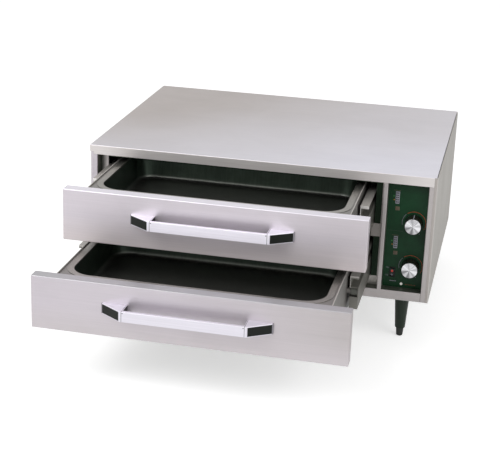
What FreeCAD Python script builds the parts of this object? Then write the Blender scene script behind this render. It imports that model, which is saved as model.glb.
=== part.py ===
import FreeCAD, Part
import math
import os

# Two-drawer countertop warming drawer cabinet.
# The model is built in cabinet coordinates (millimetres): x from the left side
# panel, y from the front plane of the face frame towards the back, z from the
# top of the body, downwards negative.  export() moves everything to the part's
# own frame: +Z up, origin under the middle of the part, on the surface it
# stands on, front towards -Y.

Vec = FreeCAD.Vector

# ---------------------------------------------------------------- cabinet
body_width = 747.0            # over the two side panels
body_height = 277.0           # body without its legs
body_depth = 575.0            # front plane to back panel
leg_height = 100.0            # body bottom to the surface
skin = 1.2                    # outer stainless sheet
liner_sheet = 1.0             # inner aluminised sheet
top_overhang = 2.3            # top cover past the left side panel
top_lip = 14.5                # folded side edges of the top cover
seam = 1.2                    # open joint between top cover and right side panel
bend_radius = 2.4             # outside radius of a folded edge
frame_radius = 1.5            # outside radius round the frame's openings
touch = 0.2                   # assembly gap between parts that are screwed together

# ---------------------------------------------------------------- face frame
stile_left = 15.5
stile_right = 16.5
mullion = 9.0                 # post between drawers and controls
control_opening = 84.5        # width of the control recess
rail_top = 20.0
rail_bottom = 20.0
recess = 25.0                 # depth of the frame's folded returns
side_lip = 6.5                # side panel wrapped round onto the front

# ---------------------------------------------------------------- drawers
travel = 402.0                # full travel of a drawer
pull_upper = 222.0            # how far the upper drawer stands open at rest
pull_lower = travel           # the lower drawer stands fully open at rest
front_gap_side = 1.25         # front to the frame's opening, each side
front_gap_bottom = 1.5        # lower front above the bottom rail
front_gap_middle = 10.0       # between the two fronts
front_gap_top = 9.5           # upper front under the top rail
front_seat_gap = 0.5          # shut front to the flange behind it
drawer_back_gap = 29.0        # shut drawer to the cavity's back
frame_sheet = 1.5             # drawer frame, slides
frame_top = 4.0               # side plate's upper edge under the front's top
frame_height = 74.0           # side plate
frame_flange = 22.0           # side plate's flange behind the front
ledge_margin = 14.0           # pan ledge past the pan's rim, at the back
ledge_fold = 20.0             # ledge's rear edge, folded down

# ---------------------------------------------------------------- pans
pan_side = 17.5               # side plate's outside to the pan's wall
pan_front = 45.0              # front plane to the pan's wall
pan_width = 300.0             # pan's wall, front to back
pan_corner = 45.0             # radius of the pan's corners at the rim
pan_flange = 12.0             # rim round the pan
pan_depth = 65.0
pan_sheet = 1.0
pan_draft = 6.0               # how far the wall leans in over its depth
pan_drop = 6.0                # pan's rim under the front's top
pan_fit = 0.8                 # pan's wall to the hole it hangs in
pan_floor_radius = 10.0       # outside bend between the pan's wall and floor

# ---------------------------------------------------------------- slides
rail_wall_gap = 17.25         # rail's outer side to the cavity's wall
rail_width = 17.5
frame_rail_gap = 5.5          # drawer's side plate to the rail
rail_drop = 18.0              # rail's top under the front's top
rail_channel_upper = 25.0     # height of the rail's upper channel
rail_back_gap = 22.5          # shut rail to the cavity's back
rail_start = 26.5             # front end of a rail when the drawer is shut
rail_lip = 6.0                # folded lip on the rail's upper front edge
rail_end_lip = 8.0            # inner lip of the rail's lower channel
track_depth = 22.75           # track's mouth to the cavity's wall
track_height = 29.0
track_gap = 1.5               # rail above its track
track_back_gap = 20.8         # track to the cavity's back
stack_gap = 0.5               # upper track's foot under the lower front's top
roller_gap = 0.3              # roller to the channel it runs in, top and bottom
wheel_space = 19.0            # clear height between the rail's two channels
wheel_width = 13.5            # drawer roller
wheel_side_gap = 0.7          # roller to the rail's web
track_wheel_width = 14.0      # rail roller
axle_radius = 4.0
running_fit = 0.05            # radial play of a roller on its axle
spacer_radius = 6.0
wheel_front_y = 237.0         # drawer's front roller when shut
wheel_rear_inset = 15.0       # drawer's rear roller before the drawer's back
track_wheel_front_y = 242.0   # rail's front roller when shut
track_wheel_rear_inset = 16.5 # rail's rear roller before the rail's end
track_wheel_inset = 1.0       # rail roller inside the track's mouth
hanger_width = 30.0           # plate that carries a rail roller
hanger_inset = 2.0            # hanger plate before the track's mouth

# ---------------------------------------------------------------- handles
handle_base_half = 166.5
handle_bar_half = 122.0
handle_grip_half = 116.0      # half width of the finger opening
handle_projection = 33.0
handle_foot = 3.0             # square edge where the wedge meets the front
handle_bar_thickness = 7.0
handle_height = 21.0
handle_drop = 49.0            # handle's middle under the front's top
cap_border = 2.4              # metal left round the inlaid cap
cap_depth = 1.2
cap_gap = 0.15
bolt_radius = 3.0
bolt_head_radius = 5.5
bolt_head = 4.0
bolt_depth = 12.0             # bolt into the handle's wedge
bolt_clear = 0.4

# ---------------------------------------------------------------- controls
panel_sheet = 1.5
panel_overlap = 5.0           # control panel behind the frame's returns
dial_right = 27.5             # dial axis from the recess's right edge
dial_upper_drop = 90.0        # upper dial axis under the frame opening's top
dial_lower_up = 49.5          # lower dial axis above the opening's bottom
knob_radius = 19.0
knob_front_radius = 17.8
knob_height = 25.6
knob_gap = 0.6                # knob's foot to the panel
knob_flutes = 18
flute_radius = 2.0
face_rim = 1.2                # plastic left round the knob's metal face
face_thickness = 0.9
shaft_radius = 3.0
shaft_gap = 0.05
bushing_radius = 5.0
hole_clear = 0.5
thermostat_size = 44.0
thermostat_depth = 34.0
bulb_radius = 4.5
bulb_length = 90.0
bulb_setback = 40.0           # bulb behind the thermostat
capillary_radius = 1.0
capillary_bend = 20.0
switch_left = 19.2            # switch axis from the recess's left edge
switch_up = 33.0              # switch axis above the opening's bottom
switch_width = 12.5
switch_height = 22.5
switch_bezel = 1.4            # bezel proud of the panel
switch_wall = 1.2
switch_depth = 20.0
rocker_gap = 0.35
rocker_tilt = 8.0             # degrees each way from level
rocker_pin_radius = 1.2
rocker_proud = 2.6            # rocker's ends past the bezel
rocker_pin_behind = 4.0       # rocker's pins behind the panel's face
lens_radius = 2.6
lens_depth = 1.8              # lens into the rocker
pilot_left = 40.1
pilot_up = 8.0                # pilot lamp above the opening's bottom
pilot_radius = 2.4
pilot_head = 0.8
pilot_stem = 6.0              # lamp's stem behind the panel
terminal_count = 5
terminal_pitch = 11.5
terminal_strip = 16.5         # width of the terminal strip
terminal_height = 22.0
terminal_up = 15.0            # strip above the base
bracket_width = 50.0
bracket_height = 40.0
bracket_length = 70.0
bracket_gap = 10.0            # bracket to the base pan's flange
bracket_setback = 110.0       # bracket before the cavity's back

# ---------------------------------------------------------------- legs, rear
leg_inset_side = 58.0
leg_inset_end = 47.0
leg_top_radius = 16.0
leg_low_radius = 11.0
leg_collar = 2.0              # height of the leg's collar
leg_collar_lip = 0.6          # collar past the leg's upper end
foot_length = 20.0
foot_radius = 8.6
foot_tip_radius = 6.8
foot_rounding = 2.6
foot_stud = 18.0              # foot's screw inside the leg
stud_radius = 5.0
stud_length = 12.0
nut_height = 7.0
gland_radius = 11.0
gland_length = 12.0
gland_bore_radius = 5.5
gland_up = 38.0               # gland axis above the body's bottom
gland_side = 52.0             # gland axis from the right side panel
screw_radius = 2.0
screw_head_radius = 4.0
screw_head = 2.0
screw_length = 8.0
slot_width = 42.0
slot_height = 4.0
slot_count = 6
slot_pitch = 12.0
insulation_gap = 0.5
base_flange = 15.0

# ---------------------------------------------------------------- heaters
element_radius = 4.0
element_start = 110.0         # front bends behind the front plane
element_back = 70.0           # rear bend's centre before the cavity's back
element_turn = 50.0           # radius of each bend
element_tail = 12.0           # tube past the cavity's back
carrier_margin = 20.0         # carrier past the outer runs
carrier_front = 110.0         # front carrier behind the front bends' ends
carrier_back = 110.0          # rear carrier before the cavity's back
clip_sheet = 2.0
clip_gap = 0.3

# ---------------------------------------------------------------- derived
drawer_opening = (body_width - stile_left - stile_right - mullion
                  - control_opening)
opening_top = -rail_top
opening_bottom = -body_height + rail_bottom
middle_x = stile_left + drawer_opening / 2
front_half = drawer_opening / 2 - front_gap_side
front_height = (opening_top - opening_bottom - front_gap_top - front_gap_middle
                - front_gap_bottom) / 2
front_thickness = recess - front_seat_gap
front_top_lower = opening_bottom + front_gap_bottom + front_height
front_top_upper = front_top_lower + front_gap_middle + front_height
front_tops = {"upper": front_top_upper, "lower": front_top_lower}
pulls = {"upper": pull_upper, "lower": pull_lower}
control_left = stile_left + drawer_opening + mullion
control_right = control_left + control_opening
cavity_half = drawer_opening / 2
liner_inner = cavity_half - liner_sheet
ring_y = recess
ring_back = ring_y + liner_sheet
cavity_back_y = body_depth - recess - liner_sheet
base_top = -body_height + skin
drawer_depth = cavity_back_y - drawer_back_gap
rail_outer = liner_inner - rail_wall_gap
rail_half = rail_outer - rail_width
frame_half = rail_half - frame_rail_gap
pan_half = frame_half - pan_side
track_half = liner_inner - track_depth
track_length = cavity_back_y - track_back_gap - ring_y - touch
rail_length = cavity_back_y - rail_back_gap - rail_start
wheel_rear_y = drawer_depth - wheel_rear_inset
track_wheel_rear_y = rail_start + rail_length - track_wheel_rear_inset
track_drop = front_height + front_gap_middle + stack_gap - track_height
rail_low = track_drop - track_gap
ring_half = rail_outer + 1.2
track_axis_drop = track_drop + track_height / 2
wheel_radius = wheel_space / 2 - roller_gap
wheel_drop = rail_drop + rail_channel_upper + wheel_space / 2
track_wheel_radius = track_height / 2 - frame_sheet - roller_gap
divider_top = front_top_upper - track_drop - track_height
element_reach = 3 * element_turn
element_rise = (track_drop + track_height - pan_drop - pan_depth) / 2
dial_x = control_right - dial_right
dial_heights = {"upper": opening_top - dial_upper_drop,
                "lower": opening_bottom + dial_lower_up}
face_radius = knob_front_radius - face_rim
switch_x = control_left + switch_left
switch_z = opening_bottom + switch_up
pilot_x = control_left + pilot_left
pilot_z = opening_bottom + pilot_up
front_reach = pull_lower + handle_projection
rear_reach = body_depth + gland_length
front_plane_y = (front_reach - rear_reach) / 2
shift = Vec((top_overhang - body_width) / 2, front_plane_y, leg_height + body_height)


def block(x0, x1, y0, y1, z0, z1):
    """Box between two corners."""
    return Part.makeBox(x1 - x0, y1 - y0, z1 - z0, Vec(x0, y0, z0))


def rod(x, y, z, radius, length, axis):
    """Cylinder from a point along an axis."""
    return Part.makeCylinder(radius, length, Vec(x, y, z), Vec(*axis))


def fuse(shapes):
    """One solid from shapes that touch or overlap."""
    whole = shapes[0].multiFuse(shapes[1:])
    return whole.removeSplitter()


def cut(shape, tools):
    """Shape with every tool taken away."""
    for tool in tools:
        shape = shape.cut(tool)
    return shape


def mirror_x(shape, x):
    """Mirror image across a plane of constant x."""
    return shape.mirror(Vec(x, 0, 0), Vec(1, 0, 0))


def round_edges(shape, radius, wanted):
    """Fillet the edges whose middle point is wanted."""
    edges = [e for e in shape.Edges if wanted(e.CenterOfMass, e)]
    return shape.makeFillet(radius, edges)


def is_upright(edge):
    """True for a straight edge along z."""
    box = edge.BoundBox
    return box.XLength < 0.01 and box.YLength < 0.01


def export(node, shapes, pull=0.0):
    """Write one node, moved to the part's frame and pulled forwards."""
    moved = []
    for shape in shapes:
        copy = shape.copy()
        copy.translate(shift - Vec(0, pull, 0))
        moved.append(copy)
    body = moved[0] if len(moved) == 1 else Part.makeCompound(moved)
    body.exportStep("parts/%s.step" % node)


# ================================================================ casing
def top_cover():
    """Flat top: lip over the left side, front flange that is the top rail."""
    x0, x1 = -top_overhang, body_width - skin - seam
    outer = block(x0, x1, 0, body_depth, -rail_top, 0)
    outer = round_edges(outer, bend_radius / 2,
                        lambda p, e: (p.z > -0.01 or is_upright(e) and p.x < x0 + 0.01)
                        and p.y < body_depth - 0.01)
    inner = block(x0 + skin, x1 - skin, skin, body_depth + skin,
                  -rail_top - skin, -skin)
    below = -top_lip
    trims = [block(x0 - 1, x1 + 1, skin, body_depth + 1, -rail_top - 1, below),
             block(x0 - 1, side_lip + touch, -1, body_depth, -rail_top - 1, below),
             block(body_width - side_lip - touch, x1 + 1, -1, skin, -rail_top - 1, 1)]
    return cut(outer, [inner] + trims)


def side_panel(z1):
    """Left-hand side skin wrapped round the front corner."""
    z0 = -body_height
    outer = block(0, side_lip, 0, body_depth, z0, z1)
    outer = round_edges(outer, bend_radius,
                        lambda p, e: is_upright(e) and p.x < 0.01 and p.y < 0.01)
    inner = block(skin, side_lip + skin, skin, body_depth + skin,
                  z0 - skin, z1 + skin)
    return outer.cut(inner)


def side_panel_left():
    """Left side panel, tucked under the top cover's lip."""
    return side_panel(-top_lip - touch)


def side_panel_right():
    """Right service panel, which runs up to the top face."""
    return mirror_x(side_panel(0.0), body_width / 2)


def leg_places():
    """Leg axes seen from above."""
    xs = (leg_inset_side, body_width - leg_inset_side)
    ys = (leg_inset_end, body_depth - leg_inset_end)
    return [(x, y) for y in ys for x in xs]


def base_pan():
    """Bottom sheet with upturned side and back flanges and leg holes."""
    x0, x1 = skin + touch, body_width - skin - touch
    y0, y1 = skin, body_depth - skin - touch
    z0 = -body_height
    outer = block(x0, x1, y0, y1, z0, z0 + base_flange)
    outer = round_edges(outer, bend_radius, lambda p, e: p.z < z0 + 0.01
                        and p.y > y0 + 0.01)
    inner = block(x0 + skin, x1 - skin, y0 - skin, y1 - skin,
                  z0 + skin, z0 + base_flange + skin)
    holes = [rod(x, y, z0 - skin, stud_radius + bolt_clear, 3 * skin, (0, 0, 1))
             for x, y in leg_places()]
    holes += [rod(x, y1 - skin - 1, z, screw_radius + touch, skin + 2, (0, 1, 0))
              for x, z in back_screws_at() if z < -body_height / 2]
    return cut(outer.cut(inner), holes)


def slot_rows():
    """Ventilation slots behind the control compartment."""
    x_mid = body_width - gland_side
    top = -rail_top - slot_pitch
    return [(x_mid, top - i * slot_pitch) for i in range(slot_count)]


def back_screws_at():
    """Screw axes round the back panel."""
    inset = 3 * screw_head_radius
    xs = [inset + i * (body_width - 2 * inset) / 4 for i in range(5)]
    return [(x, z) for z in (-inset, -body_height + base_flange / 2) for x in xs]


def back_panel():
    """Rear cover with slots, the cord gland's hole and screw holes."""
    y0 = body_depth - skin
    x0, x1 = skin + touch, body_width - skin - touch
    plate = block(x0, x1, y0, body_depth, -body_height, -skin - touch)
    tools = [block(x1 - skin - seam, x1 + 1, y0 - 1, body_depth + 1,
                   -top_lip - touch, 1)]
    for x, z in slot_rows():
        tools.append(block(x - slot_width / 2, x + slot_width / 2, y0 - 1,
                           body_depth + 1, z - slot_height / 2, z + slot_height / 2))
    tools.append(rod(body_width - gland_side, y0 - 1, -body_height + gland_up,
                     gland_radius * 0.72 + hole_clear, 3 * skin, (0, 1, 0)))
    for x, z in back_screws_at():
        tools.append(rod(x, y0 - 1, z, screw_radius + touch, 3 * skin, (0, 1, 0)))
    return cut(plate, tools)


def back_screws():
    """Pan-head screws that hold the back panel."""
    screws = []
    for x, z in back_screws_at():
        head = rod(x, body_depth, z, screw_head_radius, screw_head, (0, 1, 0))
        head = round_edges(head, screw_head * 0.45,
                           lambda p, e: p.y > body_depth + screw_head - 0.01)
        shank = rod(x, body_depth - screw_length, z, screw_radius,
                    screw_length, (0, 1, 0))
        slot = block(x - screw_head_radius, x + screw_head_radius,
                     body_depth + screw_head * 0.5, body_depth + screw_head + 1,
                     z - 0.5, z + 0.5)
        screws.append(head.fuse(shank).cut(slot))
    return screws


def opening_return(x0, x1):
    """Folded return round one opening of the face frame, before it is hollow."""
    return block(x0 - skin, x1 + skin, 0, recess, opening_bottom - skin,
                 opening_top + skin)


def front_frame():
    """Welded stiles, bottom rail and mullion with returns folded inwards."""
    x0, x1 = side_lip + touch, body_width - side_lip - touch
    whole = [block(x0, x1, 0, skin, base_top, opening_top + 4 * skin)]
    holes = []
    sides = []
    for left, right in ((stile_left, stile_left + drawer_opening),
                        (control_left, control_right)):
        whole.append(opening_return(left, right))
        holes.append(block(left, right, -1, recess + 1, opening_bottom, opening_top))
        sides += [left, right]
    frame = cut(fuse(whole), holes)

    def at_opening(p, e):
        """Front edge that runs round an opening."""
        beside = is_upright(e) and min(abs(p.x - x) for x in sides) < 0.01
        across = min(abs(p.z - opening_bottom), abs(p.z - opening_top)) < 0.01
        return p.y < 0.01 and (beside or across)
    frame = round_edges(frame, frame_radius, at_opening)
    return frame.cut(block(-1, body_width + 1, -1, skin + touch,
                           opening_top - touch, 1))


# ================================================================ cavity
def cavity_liner():
    """Left wall, ceiling and right wall of the heated cavity, one folded sheet."""
    y0, y1 = ring_back, cavity_back_y
    left, right = middle_x - cavity_half, middle_x + cavity_half
    top = opening_top - skin
    outer = block(left, right, y0, y1, base_top, top)
    inner = block(left + liner_sheet, right - liner_sheet, y0 - 1, y1 + 1,
                  base_top - 1, top - liner_sheet)
    return outer.cut(inner)


def cavity_back():
    """Rear wall of the cavity, with holes for the heater's ends."""
    left, right = middle_x - cavity_half, middle_x + cavity_half
    plate = block(left, right, cavity_back_y, cavity_back_y + liner_sheet,
                  base_top, opening_top - skin)
    holes = []
    for z in element_heights().values():
        for side in (-1, 1):
            holes.append(rod(middle_x + side * element_reach, cavity_back_y - 1, z,
                             element_radius + hole_clear, 3, (0, 1, 0)))
    return cut(plate, holes)


def track_window(level):
    """Cut in the cavity's front flange where a pair of tracks shows."""
    top = front_tops[level] - track_drop
    z0, z1 = top - track_height - hole_clear, top + hole_clear
    x_out = liner_inner + hole_clear
    return [block(middle_x + min(s * (track_half - 1), s * x_out),
                  middle_x + max(s * (track_half - 1), s * x_out),
                  ring_y - 1, ring_back + 1, z0, z1) for s in (-1, 1)]


def cavity_front_flange():
    """Flange ring the drawer fronts shut against."""
    spread = cavity_half + mullion / 2
    header = front_top_upper + 0.5
    ring = block(middle_x - spread, middle_x + spread, ring_y, ring_back,
                 base_top, -2 * skin - touch)
    hole = block(middle_x - ring_half, middle_x + ring_half, ring_y - 1, ring_back + 1,
                 opening_bottom + 3.0, header - 1.0)
    tools = [hole] + track_window("upper") + track_window("lower")
    return cut(ring, tools)


def drawer_divider():
    """Shelf between the drawers with an upturned front edge."""
    left, right = middle_x - liner_inner, middle_x + liner_inner
    z1 = divider_top
    plate = block(left + touch, right - touch, ring_back, cavity_back_y,
                  z1 - skin, z1)
    lip_half = track_half - 2.0
    lip_top = front_top_lower + front_gap_middle + 1.0
    lip = block(middle_x - lip_half, middle_x + lip_half, ring_y, ring_back,
                z1 - skin, lip_top)
    return fuse([plate, lip.fuse(block(middle_x - lip_half, middle_x + lip_half,
                                       ring_y, ring_back + 2, z1 - skin, z1))])


def insulation():
    """Blankets over the ceiling, beside the left wall and behind the cavity."""
    g = insulation_gap
    left, right = middle_x - cavity_half, middle_x + cavity_half
    top = block(left, right, ring_back + g, cavity_back_y, opening_top - skin,
                -skin - g)
    wall = block(skin + g, left, ring_back + g + 4, cavity_back_y,
                 base_top + base_flange, opening_top - skin - g)
    rear_top = opening_top - skin - g
    rear = block(left, right, cavity_back_y + liner_sheet,
                 body_depth - skin - screw_length, divider_top + 3 * element_rise / 2,
                 rear_top)
    return [top, wall, rear]


# ================================================================ heaters
def element_heights():
    """Height of each heater's tube axis."""
    return {"upper": divider_top + element_rise, "lower": base_top + element_rise}


def element_wire(z):
    """Line of the heater's tube: four runs joined by three bends."""
    r = element_turn
    xs = [middle_x + element_reach - 2 * r * i for i in range(4)]
    back = cavity_back_y - element_back
    rear = cavity_back_y + element_tail
    edges = []
    for i, x in enumerate(xs):
        start = rear if i in (0, 3) else back
        ends = (Vec(x, start, z), Vec(x, element_start + r, z))
        if i % 2:
            ends = (ends[1], ends[0])
        edges.append(Part.LineSegment(*ends).toShape())
        if i < 3:
            at_front = i % 2 == 0
            y = element_start + r if at_front else back
            bulge = y - r if at_front else y + r
            arc = Part.Arc(Vec(x, y, z), Vec(x - r, bulge, z), Vec(x - 2 * r, y, z))
            edges.append(arc.toShape())
    return Part.Wire(edges)


def heating_element(level):
    """Sheathed tube heater on two perforated carriers."""
    z = element_heights()[level]
    wire = element_wire(z)
    start = wire.Edges[0].Vertexes[0].Point
    ring = Part.Wire(Part.makeCircle(element_radius, start, Vec(0, 1, 0)))
    tube = wire.makePipeShell([ring], True, False)
    foot = z - element_rise
    carriers = []
    half = element_reach + carrier_margin
    for y in (element_start + carrier_front, cavity_back_y - carrier_back):
        plate = block(middle_x - half, middle_x + half, y, y + clip_sheet, foot,
                      z + element_radius + 3)
        holes = [rod(middle_x + element_reach - 2 * element_turn * i, y - 1, z,
                     element_radius + clip_gap, clip_sheet + 2, (0, 1, 0))
                 for i in range(4)]
        carriers.append(cut(plate, holes))
    return [tube] + carriers


# ================================================================ slides
def cabinet_track(level, side):
    """Fixed channel on the cavity wall, open towards the drawer."""
    z1 = front_tops[level] - track_drop
    z0 = z1 - track_height
    x0, x1 = middle_x + track_half, middle_x + liner_inner
    y0 = ring_y + touch
    t = frame_sheet
    outer = block(x0, x1, y0, y0 + track_length, z0, z1)
    outer = round_edges(outer, t, lambda p, e: abs(p.x - x1) < 0.01
                        and abs(p.y - y0 - track_length / 2) < 1)
    inner = block(x0 - 1, x1 - t, y0 + t, y0 + track_length + 1, z0 + t, z1 - t)
    track = outer.cut(inner)
    return track if side > 0 else mirror_x(track, middle_x)


def slide_rail(level, side):
    """Travelling rail: two stacked channels, hangers and riveted axles."""
    top = front_tops[level]
    t = frame_sheet
    x0, x1 = middle_x + rail_half, middle_x + rail_outer
    y0, y1 = rail_start, rail_start + rail_length
    z_top = top - rail_drop
    z_mid = z_top - rail_channel_upper
    z_low = z_mid - wheel_space
    z_end = top - rail_low
    parts = [
        block(x0, x1, y0, y1, z_top - t, z_top),
        block(x0, x0 + t, y0, y1, z_mid, z_top),
        block(x0, x1, y0, y1, z_mid, z_mid + t),
        block(x1 - t, x1, y0, y1, z_end, z_mid + t),
        block(x0, x1, y0, y1, z_low - t, z_low),
        block(x0, x1, y0, y1, z_end, z_end + t),
        block(x0, x0 + t, y0, y1, z_end, z_end + rail_end_lip),
        block(x0, x1, y0, y0 + t, z_end, z_low),
        block(x0, x1, y0, y0 + t, z_top - rail_lip, z_top),
    ]
    hang_x = middle_x + track_half - hanger_inset - t
    axis_z = top - track_axis_drop
    for y in (track_wheel_front_y, track_wheel_rear_y):
        parts.append(block(hang_x, hang_x + t, y - hanger_width / 2,
                           y + hanger_width / 2, axis_z - 2 * axle_radius, z_end + t))
    rail = fuse(parts)
    solids = [rail]
    roller_x = middle_x + track_half + track_wheel_inset
    for y in (track_wheel_front_y, track_wheel_rear_y):
        spacer = rod(hang_x + t, y, axis_z, spacer_radius,
                     roller_x - roller_gap - hang_x - t, (1, 0, 0))
        pin_end = roller_x + track_wheel_width + roller_gap
        pin = rod(hang_x + t, y, axis_z, axle_radius, pin_end - hang_x - t, (1, 0, 0))
        head = rod(pin_end, y, axis_z, spacer_radius, frame_sheet, (1, 0, 0))
        solids.append(fuse([spacer, pin, head]))
    if side < 0:
        solids = [mirror_x(s, middle_x) for s in solids]
    return solids


def roller(x, y, z, radius, width):
    """Grooved plastic roller with a bore for its axle."""
    body = rod(x, y, z, radius, width, (1, 0, 0))
    body = round_edges(body, 0.8, lambda p, e: True)
    bore = rod(x - 1, y, z, axle_radius + running_fit, width + 2, (1, 0, 0))
    face = spacer_radius + 0.6 * (radius - spacer_radius)
    dish = rod(x + width - 1.0, y, z, face, 2.0, (1, 0, 0))
    return cut(body, [bore, dish])


def roller_pair(x_offset, y, z, radius, width):
    """The same roller on both sides of the drawer."""
    right = roller(middle_x + x_offset, y, z, radius, width)
    return [mirror_x(right, middle_x), right]


def rail_rollers(level, y):
    z = front_tops[level] - track_axis_drop
    return roller_pair(track_half + track_wheel_inset, y, z, track_wheel_radius,
                       track_wheel_width)


def drawer_roller_x():
    """Inner side of a drawer roller from the middle plane."""
    return rail_outer - frame_sheet - wheel_side_gap - wheel_width


def drawer_rollers(level, y):
    z = front_tops[level] - wheel_drop
    return roller_pair(drawer_roller_x(), y, z, wheel_radius, wheel_width)


# ================================================================ drawers
def bolt_places(level):
    """Axes of the two bolts that hold a handle."""
    x = (handle_base_half + handle_grip_half) / 2
    z = front_tops[level] - handle_drop
    return [(middle_x + side * x, z) for side in (-1, 1)]


def front_skin(level):
    """Drawer front: one sheet folded back on all four edges."""
    top = front_tops[level]
    x0, x1 = middle_x - front_half, middle_x + front_half
    z0, z1 = top - front_height, top
    outer = block(x0, x1, 0, front_thickness, z0, z1)
    outer = round_edges(outer, bend_radius * 0.75,
                        lambda p, e: p.y < front_thickness - 0.01)
    inner = block(x0 + skin, x1 - skin, skin, front_thickness + 1,
                  z0 + skin, z1 - skin)
    holes = [rod(x, -1, z, bolt_radius + bolt_clear, skin + 2, (0, 1, 0))
             for x, z in bolt_places(level)]
    return cut(outer.cut(inner), holes)


def front_liner(level):
    """Plate that closes the back of a drawer front."""
    top = front_tops[level]
    t, g = frame_sheet, touch
    x0, x1 = middle_x - front_half + skin + g, middle_x + front_half - skin - g
    z0, z1 = top - front_height + skin + g, top - skin - g
    tray = block(x0, x1, skin, front_thickness, z0, z1)
    hollow = block(x0 + t, x1 - t, skin - 1, front_thickness - t, z0 + t, z1 - t)
    holes = [rod(x, front_thickness - 2 * t, z, bolt_radius + bolt_clear, 3 * t,
                 (0, 1, 0)) for x, z in bolt_places(level)]
    return cut(tray.cut(hollow), holes)


def rounded_slab(half_x, y0, y1, z0, z1, radius):
    """Slab with four rounded upright corners."""
    slab = block(middle_x - half_x, middle_x + half_x, y0, y1, z0, z1)
    return round_edges(slab, radius, lambda p, e: is_upright(e))


def drawer_ledge(level):
    """Sheet that the pan hangs in, with its rear edge folded down."""
    z1 = front_tops[level] - pan_drop - pan_sheet
    half = frame_half - frame_sheet
    end = pan_front + pan_width + pan_flange + ledge_margin
    sheet = block(middle_x - half, middle_x + half, front_thickness, end, z1 - skin, z1)
    hole = rounded_slab(pan_half + pan_fit, pan_front - pan_fit,
                        pan_front + pan_width + pan_fit, z1 - 2 * skin, z1 + skin,
                        pan_corner + pan_fit)
    fold = block(middle_x - half, middle_x + half, end, end + frame_sheet,
                 z1 - ledge_fold, z1)
    return sheet.cut(hole).fuse(fold).removeSplitter()


def drawer_side(level):
    """Right-hand side plate with its flange behind the front."""
    z1 = front_tops[level] - frame_top
    z0 = z1 - frame_height
    x1 = middle_x + frame_half
    plate = block(x1 - frame_sheet, x1, front_thickness, drawer_depth, z0, z1)
    flange_top = front_tops[level] - pan_drop - pan_sheet - skin
    flange = block(x1 - frame_flange, x1, front_thickness,
                   front_thickness + frame_sheet, z0, flange_top)
    return fuse([plate, flange])


def drawer_axle(level, y):
    """Shouldered axle riveted to the right-hand side plate."""
    z = front_tops[level] - wheel_drop
    x0, x1 = middle_x + frame_half, middle_x + drawer_roller_x()
    spacer = rod(x0, y, z, spacer_radius, x1 - wheel_side_gap / 2 - x0, (1, 0, 0))
    pin = rod(x0, y, z, axle_radius, x1 + wheel_width - x0, (1, 0, 0))
    return fuse([spacer, pin])


def drawer_frame(level):
    """Side plates, pan ledge and back plate of one drawer, with its axles."""
    z1 = front_tops[level] - frame_top
    half = frame_half - frame_sheet
    back = block(middle_x - half, middle_x + half, drawer_depth - frame_sheet,
                 drawer_depth, z1 - frame_height, z1)
    solids = [drawer_ledge(level), back]
    paired = [drawer_side(level)]
    paired += [drawer_axle(level, y) for y in (wheel_front_y, wheel_rear_y)]
    for shape in paired:
        solids += [mirror_x(shape, middle_x), shape]
    return solids


def pan_shell(grow, z_low, z_high):
    """Tapering rounded block, the outside or inside of a pan."""
    def ring(z, lean):
        half = pan_half + grow - lean
        ya = pan_front - grow + lean
        yb = pan_front + pan_width + grow - lean
        face = rounded_slab(half, ya, yb, z, z + 1.0, pan_corner + grow - lean / 2)
        flat = [f for f in face.Faces if abs(f.CenterOfMass.z - z) < 0.01
                and abs(f.normalAt(0, 0).z) > 0.99]
        return flat[0].OuterWire
    low = ring(z_low, pan_draft)
    high = ring(z_high, 0.0)
    return Part.makeLoft([low, high], True, True)


def pan(level):
    """Deep-drawn food pan with a flat rim."""
    rim = front_tops[level] - pan_drop
    floor = rim - pan_depth
    outer = pan_shell(0.0, floor, rim)
    outer = round_edges(outer, pan_floor_radius, lambda p, e: p.z < floor + 0.01)
    inner = pan_shell(-pan_sheet, floor + pan_sheet, rim)
    inner = round_edges(inner, pan_floor_radius - pan_sheet,
                        lambda p, e: p.z < floor + pan_sheet + 0.01)
    flange = rounded_slab(pan_half + pan_flange, pan_front - pan_flange,
                          pan_front + pan_width + pan_flange, rim - pan_sheet, rim,
                          pan_corner + pan_flange)
    return outer.fuse(flange).cut(inner).removeSplitter()


def handle_outline():
    """Corners of the handle seen from above."""
    b, g, f = handle_base_half, handle_grip_half, handle_bar_half
    p, t = handle_projection, handle_bar_thickness
    right = [(g, 0), (b, 0), (b, -handle_foot), (f, -p)]
    left = [(-x, y) for x, y in reversed(right)]
    inside = [(-g, -p + t), (g, -p + t)]
    return right + left + inside


def wedge_frame():
    """Middle, direction and length of the right wedge's slanted face."""
    ax, ay = handle_bar_half, -handle_projection
    bx, by = handle_base_half, -handle_foot
    length = math.hypot(bx - ax, by - ay)
    along = Vec((bx - ax) / length, (by - ay) / length, 0)
    middle = Vec((ax + bx) / 2, (ay + by) / 2, 0)
    return middle, along, length


def cap_block(level, shrink, depth, lift):
    """Flat block on the right wedge's slanted face."""
    middle, along, length = wedge_frame()
    z_mid = front_tops[level] - handle_drop
    half_l = length / 2 - cap_border - shrink
    half_h = handle_height / 2 - cap_border - shrink
    slab = Part.makeBox(2 * half_l, depth, 2 * half_h, Vec(-half_l, lift, -half_h))
    angle = math.degrees(math.atan2(along.y, along.x))
    slab.rotate(Vec(0, 0, 0), Vec(0, 0, 1), angle)
    slab.translate(Vec(middle_x, 0, z_mid) + middle)
    return slab


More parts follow.
